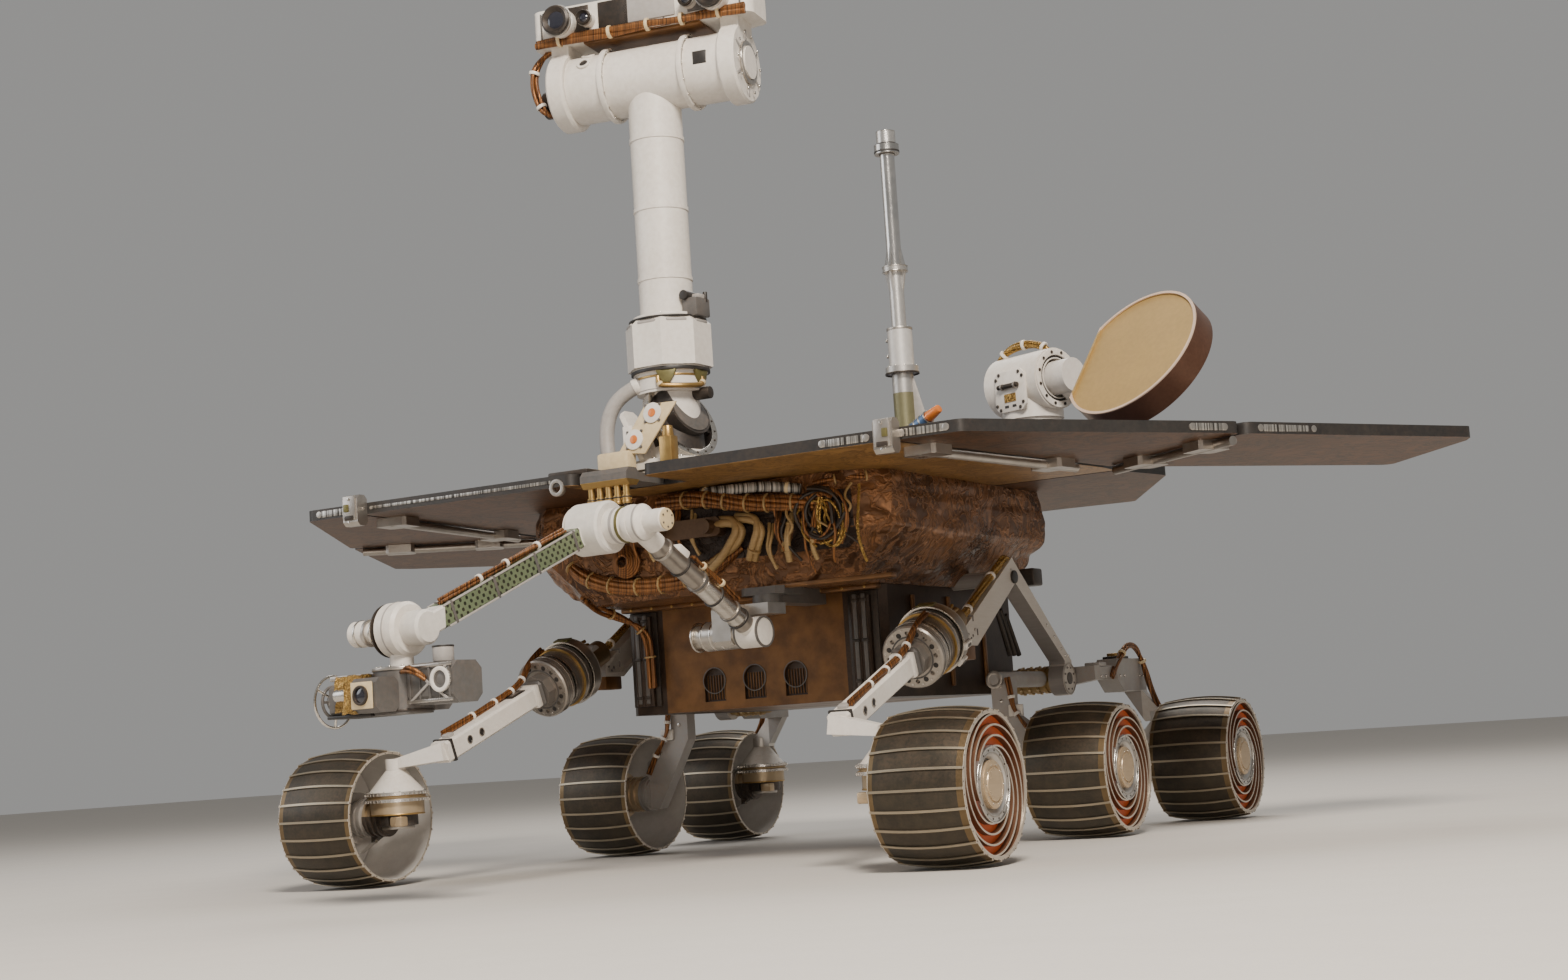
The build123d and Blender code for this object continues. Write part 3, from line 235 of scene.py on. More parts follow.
class Effects:
    """The surface effects that the finishes share, each a node group made once."""

    def __init__(self) -> None:
        """Builds the groups."""
        self.tone = self._tone()
        self.dust = self._dust()
        self.zone = self._zone()
        self.axle = self._axle()
        self.mirror = self._mirror()
        self.grains = {
            Grain.SMOOTH: self._noise_grain("smooth grain", (1, 1, 1), 900.0),
            Grain.CAST: self._noise_grain("cast grain", (1, 1, 1), 420.0),
            Grain.BRUSHED: self._noise_grain("brushed grain", (1, 1, 14), 240.0),
            Grain.CRINKLED: self._crinkled(),
            Grain.STRIATED: self._striated(),
            Grain.PIERCED: self._pierced(),
            Grain.CELLS: self._cells(),
        }

    def _tone(self) -> Tree:
        """Slow changes of shade over a surface."""
        tree, given, result = new_group(
            "shade drift", {"Place": "Vector", "Scale": "Float"}, {"Share": "Float"}
        )
        broad = node(
            tree, "TexNoise", {"Vector": given.outputs[0], "Scale": given.outputs[1], "Detail": 6.0}
        )
        tree.links.new(spread(tree, broad.outputs[0], 0.32, 0.68), result.inputs[0])
        return tree

    def _dust(self) -> Tree:
        """Fine dust that lies in patches, thicker on faces that look up."""
        tree, given, result = new_group(
            "settled dust", {"Place": "Vector", "Amount": "Float"}, {"Share": "Float"}
        )
        facing = node(tree, "SeparateXYZ", {0: node(tree, "TexCoord").outputs["Normal"]}).outputs[2]
        patches = node(
            tree, "TexNoise", {"Vector": given.outputs[0], "Scale": 24.0, "Detail": 8.0}
        ).outputs[0]
        specks = node(
            tree, "TexNoise", {"Vector": given.outputs[0], "Scale": 210.0, "Detail": 3.0}
        ).outputs[0]
        upward = spread(tree, facing, -0.6, 1.0)
        cloud = spread(tree, calc(tree, "MULTIPLY", patches, specks), 0.15, 0.42)
        share = calc(tree, "MULTIPLY", calc(tree, "MULTIPLY_ADD", upward, 0.75, 0.25), cloud)
        tree.links.new(calc(tree, "MULTIPLY", share, given.outputs[1], clamp=True), result.inputs[0])
        return tree

    def _zone(self) -> Tree:
        """1 inside a box of coordinates, 0 outside it."""
        tree, given, result = new_group(
            "zone mask", {"Place": "Vector", "Low": "Vector", "High": "Vector"}, {"Share": "Float"}
        )
        above = vector_calc(tree, "SUBTRACT", given.outputs[0], given.outputs[1])
        below = vector_calc(tree, "SUBTRACT", given.outputs[2], given.outputs[0])
        least = vector_calc(tree, "MINIMUM", above, below)
        parts = node(tree, "SeparateXYZ", {0: least}).outputs
        nearest = calc(tree, "MINIMUM", calc(tree, "MINIMUM", parts[0], parts[1]), parts[2])
        tree.links.new(calc(tree, "GREATER_THAN", nearest, 0.0), result.inputs[0])
        return tree

    def _axle(self) -> Tree:
        """Distance out from a wheel's middle, from its axle, and the same with its crown taken out."""
        tree, given, result = new_group(
            "axle place", {"Place": "Vector", "Centre": "Vector", "Axis": "Vector"}, {"Axle": "Vector"}
        )
        away = vector_calc(tree, "SUBTRACT", given.outputs[0], given.outputs[1])
        out = node(tree, "VectorMath", {0: away, 1: given.outputs[2]}, operation="DOT_PRODUCT").outputs[1]
        across = vector_calc(tree, "CROSS_PRODUCT", away, given.outputs[2])
        radius = node(tree, "VectorMath", {0: across}, operation="LENGTH").outputs[1]
        crown = calc(tree, "MULTIPLY", calc(tree, "MULTIPLY", out, out), WHEEL_CROWN)
        flat = calc(tree, "ADD", radius, crown)
        tree.links.new(node(tree, "CombineXYZ", {0: out, 1: radius, 2: flat}).outputs[0], result.inputs[0])
        return tree

    def _mirror(self) -> Tree:
        """Coordinates that are alike on both sides of the rover."""
        tree, given, result = new_group("mirrored place", {"Place": "Vector"}, {"Both": "Vector"})
        parts = node(tree, "SeparateXYZ", {0: given.outputs[0]}).outputs
        across = calc(tree, "ABSOLUTE", parts[0])
        tree.links.new(
            node(tree, "CombineXYZ", {0: across, 1: parts[1], 2: parts[2]}).outputs[0], result.inputs[0]
        )
        return tree

    def _grain_group(self, name: str) -> tuple:
        """Starts a grain group, which all have the same sockets."""
        return new_group(name, {"Place": "Vector", "Size": "Float"}, {"Height": "Float", "Share": "Float"})

    def _noise_grain(self, name: str, stretch: tuple, fineness: float) -> Tree:
        """Even or stretched fine noise."""
        tree, given, result = self._grain_group(name)
        place = node(tree, "Mapping", {"Vector": given.outputs[0], "Scale": stretch}).outputs[0]
        scale = calc(tree, "MULTIPLY", given.outputs[1], fineness)
        fine = node(tree, "TexNoise", {"Vector": place, "Scale": scale, "Detail": 3.0}).outputs[0]
        marks = node(
            tree, "TexNoise", {"Vector": place, "Scale": calc(tree, "MULTIPLY", scale, 0.12), "Detail": 6.0}
        )
        tree.links.new(fine, result.inputs[0])
        tree.links.new(spread(tree, marks.outputs[0], 0.36, 0.64), result.inputs[1])
        return tree

    def _crinkled(self) -> Tree:
        """Creased foil: sharp folds between small facets that are bent by slow noise, with painted shade or
        painted highlight along the folds.
        """
        tree, given, result = self._grain_group("creased foil")
        warp = node(tree, "TexNoise", {"Vector": given.outputs[0], "Scale": 7.0, "Detail": 5.0}).outputs[1]
        bent = node(tree, "VectorMath", {0: warp, "Scale": 0.12}, operation="SCALE").outputs[0]
        place = vector_calc(tree, "ADD", given.outputs[0], bent)
        scale = calc(tree, "MULTIPLY", given.outputs[1], 26.0)
        folds = node(
            tree, "TexVoronoi", {"Vector": place, "Scale": scale}, feature="DISTANCE_TO_EDGE"
        ).outputs[0]
        facets = node(tree, "TexVoronoi", {"Vector": place, "Scale": calc(tree, "MULTIPLY", scale, 2.3)})
        swirl = node(
            tree, "TexNoise", {"Vector": place, "Scale": scale, "Detail": 9.0, "Distortion": 2.2}
        ).outputs[0]
        ridge = calc(tree, "ABSOLUTE", calc(tree, "SUBTRACT", swirl, 0.5))
        sharp = calc(tree, "SUBTRACT", 1.0, spread(tree, ridge, 0.0, 0.06))
        height = calc(tree, "MULTIPLY_ADD", facets.outputs[0], 0.5, calc(tree, "MULTIPLY", sharp, 0.8))
        tree.links.new(calc(tree, "SUBTRACT", height, folds), result.inputs[0])
        # The share lays the finish's second colour on the crease lines and swirls: painted shade or painted
        # highlight of the folds.
        tree.links.new(
            calc(tree, "MULTIPLY_ADD", sharp, 0.7, spread(tree, swirl, 0.55, 0.8), clamp=True),
            result.inputs[1]
        )
        return tree

    def _striated(self) -> Tree:
        """Uneven upright stripes, as on the worn silver lengths of the deck's edge."""
        tree, given, result = self._grain_group("striated grain")
        parts = node(tree, "SeparateXYZ", {0: given.outputs[0]}).outputs
        run = calc(tree, "ADD", parts[0], calc(tree, "MULTIPLY", parts[1], 0.83))
        line = node(tree, "CombineXYZ", {0: run}).outputs[0]
        size = calc(tree, "MULTIPLY", given.outputs[1], 150.0)
        stripes = node(tree, "TexNoise", {"Vector": line, "Scale": size, "Detail": 4.0, "Roughness": 0.7})
        tree.links.new(stripes.outputs[0], result.inputs[0])
        tree.links.new(spread(tree, stripes.outputs[0], 0.44, 0.56), result.inputs[1])
        return tree

    def _pierced(self) -> Tree:
        """Rows of small round holes."""
        tree, given, result = self._grain_group("rows of holes")
        parts = node(tree, "SeparateXYZ", {0: given.outputs[0]}).outputs
        along = calc(tree, "MULTIPLY_ADD", parts[1], 0.927, calc(tree, "MULTIPLY", parts[2], 0.375))
        over = calc(
            tree, "MULTIPLY_ADD", parts[2], 0.927, calc(tree, "MULTIPLY_ADD", parts[1], -0.375, parts[0])
        )
        scale = calc(tree, "MULTIPLY", given.outputs[1], 420.0)
        rows = [calc(tree, "SINE", calc(tree, "MULTIPLY", run, scale)) for run in (along, over)]
        holes = spread(tree, calc(tree, "MULTIPLY", *rows), 0.3, 0.42)
        tree.links.new(calc(tree, "MULTIPLY", holes, -1.0), result.inputs[0])
        tree.links.new(holes, result.inputs[1])
        return tree

    def _cells(self) -> Tree:
        """Rows of solar cells with thin bright joints."""
        tree, given, result = self._grain_group("cell rows")
        bricks = node(
            tree,
            "TexBrick",
            {
                "Vector": given.outputs[0],
                "Color1": (0.0, 0.0, 0.0),
                "Color2": (0.22, 0.22, 0.22),
                "Mortar": (1.0, 1.0, 1.0),
                "Scale": 12.0,
                "Mortar Size": 0.026,
                "Brick Width": 0.78,
                "Row Height": 0.46,
            },
            offset=0.0,
        )
        grey = node(tree, "SeparateColor", {0: bricks.outputs[0]}).outputs[0]
        tree.links.new(calc(tree, "MULTIPLY", bricks.outputs[1], -1.0), result.inputs[0])
        tree.links.new(grey, result.inputs[1])
        return tree


DUST = (0.42, 0.24, 0.13)
DUST_ROUGHNESS = 0.85
DRIFT_SCALE = 9.0
DRIFT_SHARE = 0.3
DRIFT_GLOSS = 0.14
ZONE_SHADE = 0.72
RELIEF_DEPTH = 0.002


@dataclass(frozen=True)
class Zone:
    """A part of a surface with a finish of its own, between two corners of coordinates."""

    low: tuple[float, float, float]
    high: tuple[float, float, float]
    colour: Colour
    roughness: float = 0.45
    metallic: float = 0.0
    space: Space = Space.PLACE
    shade: Colour | None = None
    grain: Grain | None = None
    grain_size: float = 1.0
    grain_share: float = 0.3


@dataclass(frozen=True)
class Finish:
    """One material: its colours, its gloss, its grain and the dust on it."""

    name: str
    colour: Colour
    shade: Colour
    roughness: float = 0.45
    metallic: float = 0.0
    grain: Grain = Grain.SMOOTH
    grain_size: float = 1.0
    grain_share: float = 0.3
    bump: float = 0.12
    dust: float = 0.25
    coat: float = 0.0
    zones: tuple[Zone, ...] = ()
    centre: tuple[float, float, float] = (0.0, 0.0, 0.0)
    axis: tuple[float, float, float] = (1.0, 0.0, 0.0)

    def make(self, effects: Effects) -> bpy.types.Material:
        """Builds the material.

        Args:
            effects: The shared node groups.

        Returns:
            The finished material.
        """
        material = bpy.data.materials.new(self.name)
        material.use_nodes = True
        tree = material.node_tree
        shader = tree.nodes["Principled BSDF"]
        place = node(tree, "TexCoord").outputs["Object"]
        drift = self._group(tree, effects.tone, Place=place, Scale=DRIFT_SCALE).outputs[0]
        grain = self._group(tree, effects.grains[self.grain], Place=place, Size=self.grain_size)
        share = calc(
            tree, "MULTIPLY_ADD", grain.outputs[1], self.grain_share,
            calc(tree, "MULTIPLY", drift, DRIFT_SHARE)
        )
        colour = blend(tree, calc(tree, "MINIMUM", share, 1.0), self.colour, self.shade)
        roughness = calc(tree, "MULTIPLY_ADD", drift, DRIFT_GLOSS, self.roughness - DRIFT_GLOSS / 2)
        metallic = self.metallic
        height = grain.outputs[0]
        for zone in self.zones:
            mask = self._zone_mask(tree, effects, place, zone)
            zone_share = share
            if zone.grain:
                own = self._group(tree, effects.grains[zone.grain], Place=place, Size=zone.grain_size)
                drifted = calc(tree, "MULTIPLY", drift, DRIFT_SHARE)
                zone_share = calc(
                    tree, "MULTIPLY_ADD", own.outputs[1], zone.grain_share, drifted, clamp=True
                )
                height = blend_number(tree, mask, height, own.outputs[0])
            darker = zone.shade or tuple(part * ZONE_SHADE for part in zone.colour)
            patch = blend(tree, calc(tree, "MINIMUM", zone_share, 1.0), zone.colour, darker)
            colour = blend(tree, mask, colour, patch)
            roughness = blend_number(tree, mask, roughness, zone.roughness)
            metallic = blend_number(tree, mask, metallic, zone.metallic)
        dusty = self._group(tree, effects.dust, Place=place, Amount=self.dust).outputs[0]
        colour = blend(tree, dusty, colour, DUST)
        tree.links.new(colour, shader.inputs["Base Color"])
        tree.links.new(blend_number(tree, dusty, roughness, DUST_ROUGHNESS), shader.inputs["Roughness"])
        if isinstance(metallic, Socket):
            tree.links.new(
                calc(tree, "MULTIPLY", metallic, calc(tree, "SUBTRACT", 1.0, dusty)),
                shader.inputs["Metallic"]
            )
        else:
            shader.inputs["Metallic"].default_value = metallic
        shader.inputs["Coat Weight"].default_value = self.coat
        relief = node(tree, "Bump", {"Strength": self.bump, "Distance": RELIEF_DEPTH, "Height": height})
        tree.links.new(relief.outputs[0], shader.inputs["Normal"])
        return material

    def _zone_mask(self, tree: Tree, effects: Effects, place: Socket, zone: Zone) -> Socket:
        """The mask of one zone in the coordinates that it measures."""
        if zone.space is Space.AXLE:
            place = self._group(
                tree, effects.axle, Place=place, Centre=self.centre, Axis=self.axis
            ).outputs[0]
        elif zone.space is Space.MIRRORED:
            place = self._group(tree, effects.mirror, Place=place).outputs[0]
        elif zone.space is Space.FACING:
            place = node(tree, "TexCoord").outputs["Normal"]
        return self._group(tree, effects.zone, Place=place, Low=zone.low, High=zone.high).outputs[0]

    @staticmethod
    def _group(tree: Tree, group: Tree, **inputs: Value) -> bpy.types.Node:
        """Places a shared group with its own values."""
        made = tree.nodes.new("ShaderNodeGroup")
        made.node_tree = group
        for name, value in inputs.items():
            if isinstance(value, Socket):
                tree.links.new(value, made.inputs[name])
            else:
                made.inputs[name].default_value = value
        return made


FINISHES = {
    finish.name: finish
    for finish in (
        Finish(Coat.WHITE.value, (0.74, 0.7, 0.64), (0.56, 0.5, 0.43), 0.4, dust=0.12, bump=0.05),
        Finish(Coat.GREY.value, (0.36, 0.34, 0.32), (0.25, 0.23, 0.21), 0.45, dust=0.2, bump=0.08),
        Finish(Coat.SLATE.value, (0.1, 0.095, 0.09), (0.055, 0.05, 0.045), 0.45, dust=0.15, bump=0.1),
        Finish(
            Coat.ALLOY.value, (0.5, 0.47, 0.43), (0.32, 0.28, 0.24), 0.33, 0.9, Grain.CAST, bump=0.1,
            dust=0.12
        ),
        Finish(Coat.STEEL.value, (0.7, 0.67, 0.62), (0.42, 0.37, 0.31), 0.2, 1.0, Grain.BRUSHED, dust=0.08),
        Finish(Coat.DARK.value, (0.03, 0.027, 0.025), (0.065, 0.05, 0.038), 0.4, 0.5, dust=0.1),
        Finish(Coat.BLACK.value, (0.012, 0.011, 0.011), (0.03, 0.026, 0.022), 0.45, dust=0.06),
        Finish(
            Coat.GLASS.value, (0.01, 0.012, 0.02), (0.02, 0.02, 0.03), 0.06, dust=0.03, coat=1.0, bump=0.0
        ),
        Finish(Coat.BRASS.value, (0.52, 0.34, 0.12), (0.25, 0.14, 0.05), 0.34, 0.9, Grain.CAST, dust=0.1),
        Finish(Coat.TAN.value, (0.55, 0.42, 0.27), (0.4, 0.28, 0.16), 0.28, 0.55, Grain.BRUSHED, dust=0.08),
        Finish(
            Coat.COPPER.value, (0.36, 0.15, 0.045), (0.055, 0.022, 0.01), 0.4, 0.6, Grain.STRIATED, 1.6, 0.8,
            0.5, 0.1
        ),
        # Gold foil: the darker second colour along the creases is painted shade.
        Finish(
            Coat.GOLD.value, (0.56, 0.35, 0.1), (0.1, 0.048, 0.014), 0.28, 0.8, Grain.CRINKLED, 3.0, 0.7,
            0.8, 0.08
        ),
        Finish(
            Coat.BRONZE.value, (0.2, 0.092, 0.028), (0.06, 0.026, 0.01), 0.4, 0.4, Grain.CAST, 0.5, 0.55,
            0.1, 0.08
        ),
        # Brown blanket: the pale second colour along the folds is a painted highlight.
        Finish(
            Coat.BLANKET.value, (0.045, 0.019, 0.008), (0.46, 0.215, 0.09), 0.3, 0.5, Grain.CRINKLED, 0.7,
            0.66, 1.0, 0.05,
            # A nearly black patch on the blanket's front, behind the harness: painted shade.
            zones=(Zone((-0.03, -0.3, 0.54), (0.325, -0.118, 0.64), (0.02, 0.01, 0.006), 0.4, 0.3),),
        ),
        Finish(
            Coat.STRIPED.value, (0.62, 0.59, 0.54), (0.06, 0.055, 0.05), 0.34, 0.8, Grain.STRIATED, 1.0, 0.9,
            0.2, 0.05
        ),
        Finish(Coat.OLIVE.value, (0.15, 0.135, 0.045), (0.075, 0.066, 0.022), 0.4, 0.4, dust=0.1),
        Finish(Coat.ORANGE.value, (0.72, 0.2, 0.03), (0.4, 0.1, 0.02), 0.32, 0.2, coat=0.3, dust=0.05),
        Finish(Coat.BLUE.value, (0.1, 0.18, 0.32), (0.05, 0.08, 0.16), 0.35, 0.5, dust=0.08),
        Finish(Coat.CREAM.value, (0.66, 0.53, 0.32), (0.46, 0.34, 0.18), 0.42, dust=0.1),
        Finish(
            Coat.GREEN.value, (0.17, 0.215, 0.12), (0.018, 0.022, 0.012), 0.4, 0.3, Grain.PIERCED, 1.0, 0.9,
            0.5, 0.1
        ),
        Finish(
            Coat.WEAVE.value, (0.55, 0.52, 0.47), (0.012, 0.011, 0.01), 0.5, 0.1, Grain.STRIATED, 0.9, 1.0,
            0.6, 0.05
        ),
        Finish(Coat.RIM.value, (0.6, 0.54, 0.46), (0.4, 0.33, 0.26), 0.34, 0.7, Grain.CAST, dust=0.15),
        Finish(
            Coat.STRAP.value, (0.4, 0.27, 0.115), (0.2, 0.115, 0.045), 0.42, 0.2, Grain.BRUSHED, dust=0.1
        ),
    )
}


class Piece:
    """A mesh that grows out of bevelled shapes, each with a finish of its own."""

    materials: dict[Coat, bpy.types.Material] = {}

    def __init__(self, name: str, body: str, slot: str) -> None:
        """Starts an empty piece.

        Args:
            name: The object's name.
            body: The CAD body that it moves with.
            slot: The record's material slot; it is not used.
        """
        self.name = name
        self.body = body
        self.slot = slot
        self.mesh = bmesh.new()
        self.coats: list[Coat] = []

    def take(
        self, shape: bmesh.types.BMesh, coat: Coat, place: Matrix, bevel: float = 0.0, segments: int = 2
    ) -> None:
        """Bevels a shape, puts it in its place and joins it to the piece.

        Args:
            shape: The shape, which is used up.
            coat: Its finish.
            place: Where it goes.
            bevel: How far its sharp edges are cut back.
            segments: How many steps round off an edge.
        """
        bmesh.ops.remove_doubles(shape, verts=shape.verts[:], dist=MERGE_DISTANCE)
        if bevel:
            sharp = [
                e for e in shape.edges if e.is_manifold and e.calc_face_angle() > math.radians(BEVEL_ANGLE)
            ]
            bmesh.ops.bevel(
                shape, geom=sharp, offset=bevel, affect="EDGES", segments=segments, profile=0.5,
                material=-1, clamp_overlap=True,
            )
        bmesh.ops.transform(shape, matrix=place, verts=shape.verts[:])
        bmesh.ops.recalc_face_normals(shape, faces=shape.faces[:])
        if coat not in self.coats:
            self.coats.append(coat)
        for face in shape.faces:
            face.material_index = self.coats.index(coat)
            face.smooth = True
        scrap = bpy.data.meshes.new("scrap")
        shape.to_mesh(scrap)
        shape.free()
        self.mesh.from_mesh(scrap)
        bpy.data.meshes.remove(scrap)

    def rod(
        self, coat: Coat, start: Vector, end: Vector, radius: float, end_radius: float | None = None,
        bevel: float = 0.001, sides: int = 32,
    ) -> None:
        """A round bar or cone between two places."""
        length = (end - start).length
        shape = bmesh.new()
        last = radius if end_radius is None else end_radius
        bmesh.ops.create_cone(
            shape, cap_ends=True, segments=sides, radius1=radius, radius2=last, depth=length
        )
        self.take(shape, coat, aim(start, end) @ Matrix.Translation((0, 0, length / 2)), bevel)

    def block(
        self, coat: Coat, centre: Vector | tuple, size: tuple, frame_at: Matrix = Matrix(),
        bevel: float = 0.002, segments: int = 2,
    ) -> None:
        """A box with rounded edges, in a frame of its own."""
        shape = bmesh.new()
        bmesh.ops.create_cube(shape, size=1.0)
        bmesh.ops.scale(shape, vec=size, verts=shape.verts[:])
        self.take(shape, coat, frame_at @ Matrix.Translation(centre), bevel, segments)

    def lathe(
        self, coat: Coat, place: Matrix, outline: tuple, closed: bool = True, steps: int = 48,
        bevel: float = 0.0
    ) -> None:
        """A turned shape.

        Args:
            coat: Its finish.
            place: A frame with its Z along the axis.
            outline: Corners as (radius, height).
            closed: Whether the last corner joins the first, as on a ring.
            steps: How many steps a full turn has.
            bevel: How far its sharp edges are cut back.
        """
        shape = bmesh.new()
        corners = [shape.verts.new((radius, 0, height)) for radius, height in outline]
        runs = list(zip(corners, corners[1:] + corners[:1])) if closed else list(zip(corners, corners[1:]))
        edges = [shape.edges.new(run) for run in runs]
        bmesh.ops.spin(
            shape, geom=corners + edges, cent=(0, 0, 0), axis=(0, 0, 1), angle=math.tau, steps=steps,
            use_merge=True,
        )
        self.take(shape, coat, place, bevel)

    def ring(
        self, coat: Coat, place: Matrix, outer: float, inner: float, depth: float, bevel: float = 0.0008
    ) -> None:
        """A flat ring or washer with its Z along the axis."""
        self.lathe(coat, place, ((inner, 0), (outer, 0), (outer, depth), (inner, depth)), bevel=bevel)

    def rings(self, place: Matrix, rows: tuple, bevel: float = 0.0008) -> None:
        """Rings on one axis, each a finish, a height, both radii and a depth."""
        for coat, height, outer, inner, depth in rows:
            self.ring(coat, moved(place, z=height), outer, inner, depth, bevel)

    def blocks(self, place: Matrix, rows: tuple) -> None:
        """Boxes in one frame, each a finish, a centre, a size and a bevel."""
        for coat, centre, size, bevel in rows:
            self.block(coat, centre, size, place, bevel)

    def disc(
        self, coat: Coat, place: Matrix, radius: float, depth: float, bevel: float = 0.0008, sides: int = 40
    ) -> None:
        """A round plate with its Z along the axis."""
        shape = bmesh.new()
        bmesh.ops.create_cone(
            shape, cap_ends=True, segments=sides, radius1=radius, radius2=radius, depth=depth
        )
        self.take(shape, coat, place @ Matrix.Translation((0, 0, depth / 2)), bevel)

    def plate(
        self, coat: Coat, place: Matrix, outline: tuple, thickness: float, bevel: float = 0.001
    ) -> None:
        """A flat plate from corners as (x, y), with its Z through its thickness."""
        shape = bmesh.new()
        face = shape.faces.new([shape.verts.new((x, y, 0)) for x, y in outline])
        raised = bmesh.ops.extrude_face_region(shape, geom=[face])["geom"]
        bmesh.ops.translate(
            shape, vec=(0, 0, thickness), verts=[v for v in raised if isinstance(v, bmesh.types.BMVert)]
        )
        self.take(shape, coat, place, bevel)

    def bolts(
        self, coat: Coat, place: Matrix, places: list, radius: float = 0.003, height: float = 0.002
    ) -> None:
        """Small bolt heads at (x, y) on a frame whose Z points off the surface."""
        for x, y in places:
            self.disc(
                coat, place @ Matrix.Translation((x, y, 0)), radius, height, bevel=radius * 0.25, sides=10
            )

    def bolt_circle(
        self, coat: Coat, place: Matrix, circle: float, count: int, radius: float = 0.003,
        height: float = 0.002
    ) -> None:
        """Bolt heads evenly round a circle."""
        turns = [math.tau * (index + 0.5) / count for index in range(count)]
        self.bolts(
            coat, place, [(circle * math.cos(t), circle * math.sin(t)) for t in turns], radius, height
        )

    def crumple(self, coat: Coat, centre: tuple, size: tuple, frame_at: Matrix, depth: float) -> None:
        """A lump of crumpled foil."""
        shape = bmesh.new()
        bmesh.ops.create_cube(shape, size=1.0)
        bmesh.ops.subdivide_edges(shape, edges=shape.edges[:], cuts=9, use_grid_fill=True)
        bmesh.ops.scale(shape, vec=size, verts=shape.verts[:])
        bmesh.ops.smooth_vert(
            shape, verts=shape.verts[:], factor=0.5, use_axis_x=True, use_axis_y=True, use_axis_z=True
        )
        shape.normal_update()
        for vert in shape.verts:
            fold = noise.turbulence((vert.co + Vector(centre)) * 45.0, 4, True)
            vert.co = vert.co + vert.normal * (fold - 0.8) * depth
        self.take(shape, coat, frame_at @ Matrix.Translation(centre))

    def coil(self, coat: Coat, place: Matrix, radius: float, thickness: float, width: int = 10) -> None:
        """A round hoop with its Z along the axis."""
        shape = bmesh.new()
        bmesh.ops.create_circle(shape, cap_ends=False, radius=thickness, segments=width)
        upright = Matrix.Translation((radius, 0, 0)) @ rolled(90.0, "X")
        bmesh.ops.transform(shape, matrix=upright, verts=shape.verts[:])
        bmesh.ops.spin(
            shape, geom=shape.verts[:] + shape.edges[:], cent=(0, 0, 0), axis=(0, 0, 1), angle=math.tau,
            steps=40, use_merge=True,
        )
        self.take(shape, coat, place)

    def done(self) -> bpy.types.Object:
        """Makes the object, shades it and lets it ride on its body."""
        mesh = bpy.data.meshes.new(self.name)
        self.mesh.to_mesh(mesh)
        self.mesh.free()
        for coat in self.coats:
            mesh.materials.append(self.materials[coat])
        mesh.set_sharp_from_angle(angle=math.radians(SMOOTH_ANGLE))
        made = bpy.data.objects.new(self.name, mesh)
        bpy.context.scene.collection.objects.link(made)
        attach(made, self.body)
        log.info("%s: %d faces on %s", self.name, len(mesh.polygons), self.body)
        return made


@dataclass
class Bundle:
    """Cables that the rover holds all the way, tied side by side."""

    name: str
    body: str
    points: tuple
    radius: float = 0.004
    strands: int = 1
    spread: float = 0.0
    coat: Coat = Coat.COPPER
    ties: tuple = ()
    tie_coat: Coat = Coat.CREAM
    slot: str = "coated_tube"
    twist: float = 0.7
    tie_width: float = 0.006

    def make(self) -> None:
        """Builds the strands as smooth splines and the ties round them."""
        curve = bpy.data.curves.new(self.name, "CURVE")
        curve.dimensions = "3D"
        curve.resolution_u = 8
        for strand in range(self.strands):
            self._strand(curve, strand)
        made = bpy.data.objects.new(self.name, curve)
        bpy.context.scene.collection.objects.link(made)
        line = bpy.data.meshes.new_from_object(made)
        share = len(line.vertices) // self.strands
        middle = [
            sum((line.vertices[index + share * k].co for k in range(self.strands)), Vector()) / self.strands
            for index in range(share)
        ]
        bpy.data.meshes.remove(line)
        curve.bevel_depth = self.radius
        curve.bevel_resolution = 3
        curve.use_fill_caps = True
        curve.materials.append(Piece.materials[self.coat])
        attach(made, self.body)
        if self.ties:
            self._ties(middle)
        log.info("%s: %d strands on %s", self.name, self.strands, self.body)

    def _strand(self, curve: bpy.types.Curve, strand: int) -> None:
        """One strand, which turns slowly round the middle of the bundle."""
        spline = curve.splines.new("NURBS")
        spline.points.add(len(self.points) - 1)
        for index, point in enumerate(self.points):
            before = self.points[max(index - 1, 0)]
            after = self.points[min(index + 1, len(self.points) - 1)]
            along = (after - before).normalized()
            side = along.orthogonal().normalized()
            angle = math.tau * strand / self.strands + self.twist * index
            away = Matrix.Rotation(angle, 3, along) @ side * (self.spread if self.strands > 1 else 0.0)
            spline.points[index].co = (*(point + away), 1.0)
        spline.order_u = 3
        spline.use_endpoint_u = True

    def _ties(self, middle: list) -> None:
        """Rings round the bundle at shares of its length."""
        piece = Piece(self.name + "_ties", self.body, self.slot)
        outer = self.radius + (self.spread if self.strands > 1 else 0.0) + 0.0012
        for share in self.ties:
            index = min(int(share * (len(middle) - 1)), len(middle) - 2)
            place = aim(middle[index], middle[index + 1], "Y")
            piece.ring(self.tie_coat, place, outer, outer * 0.6, self.tie_width)
        piece.done()


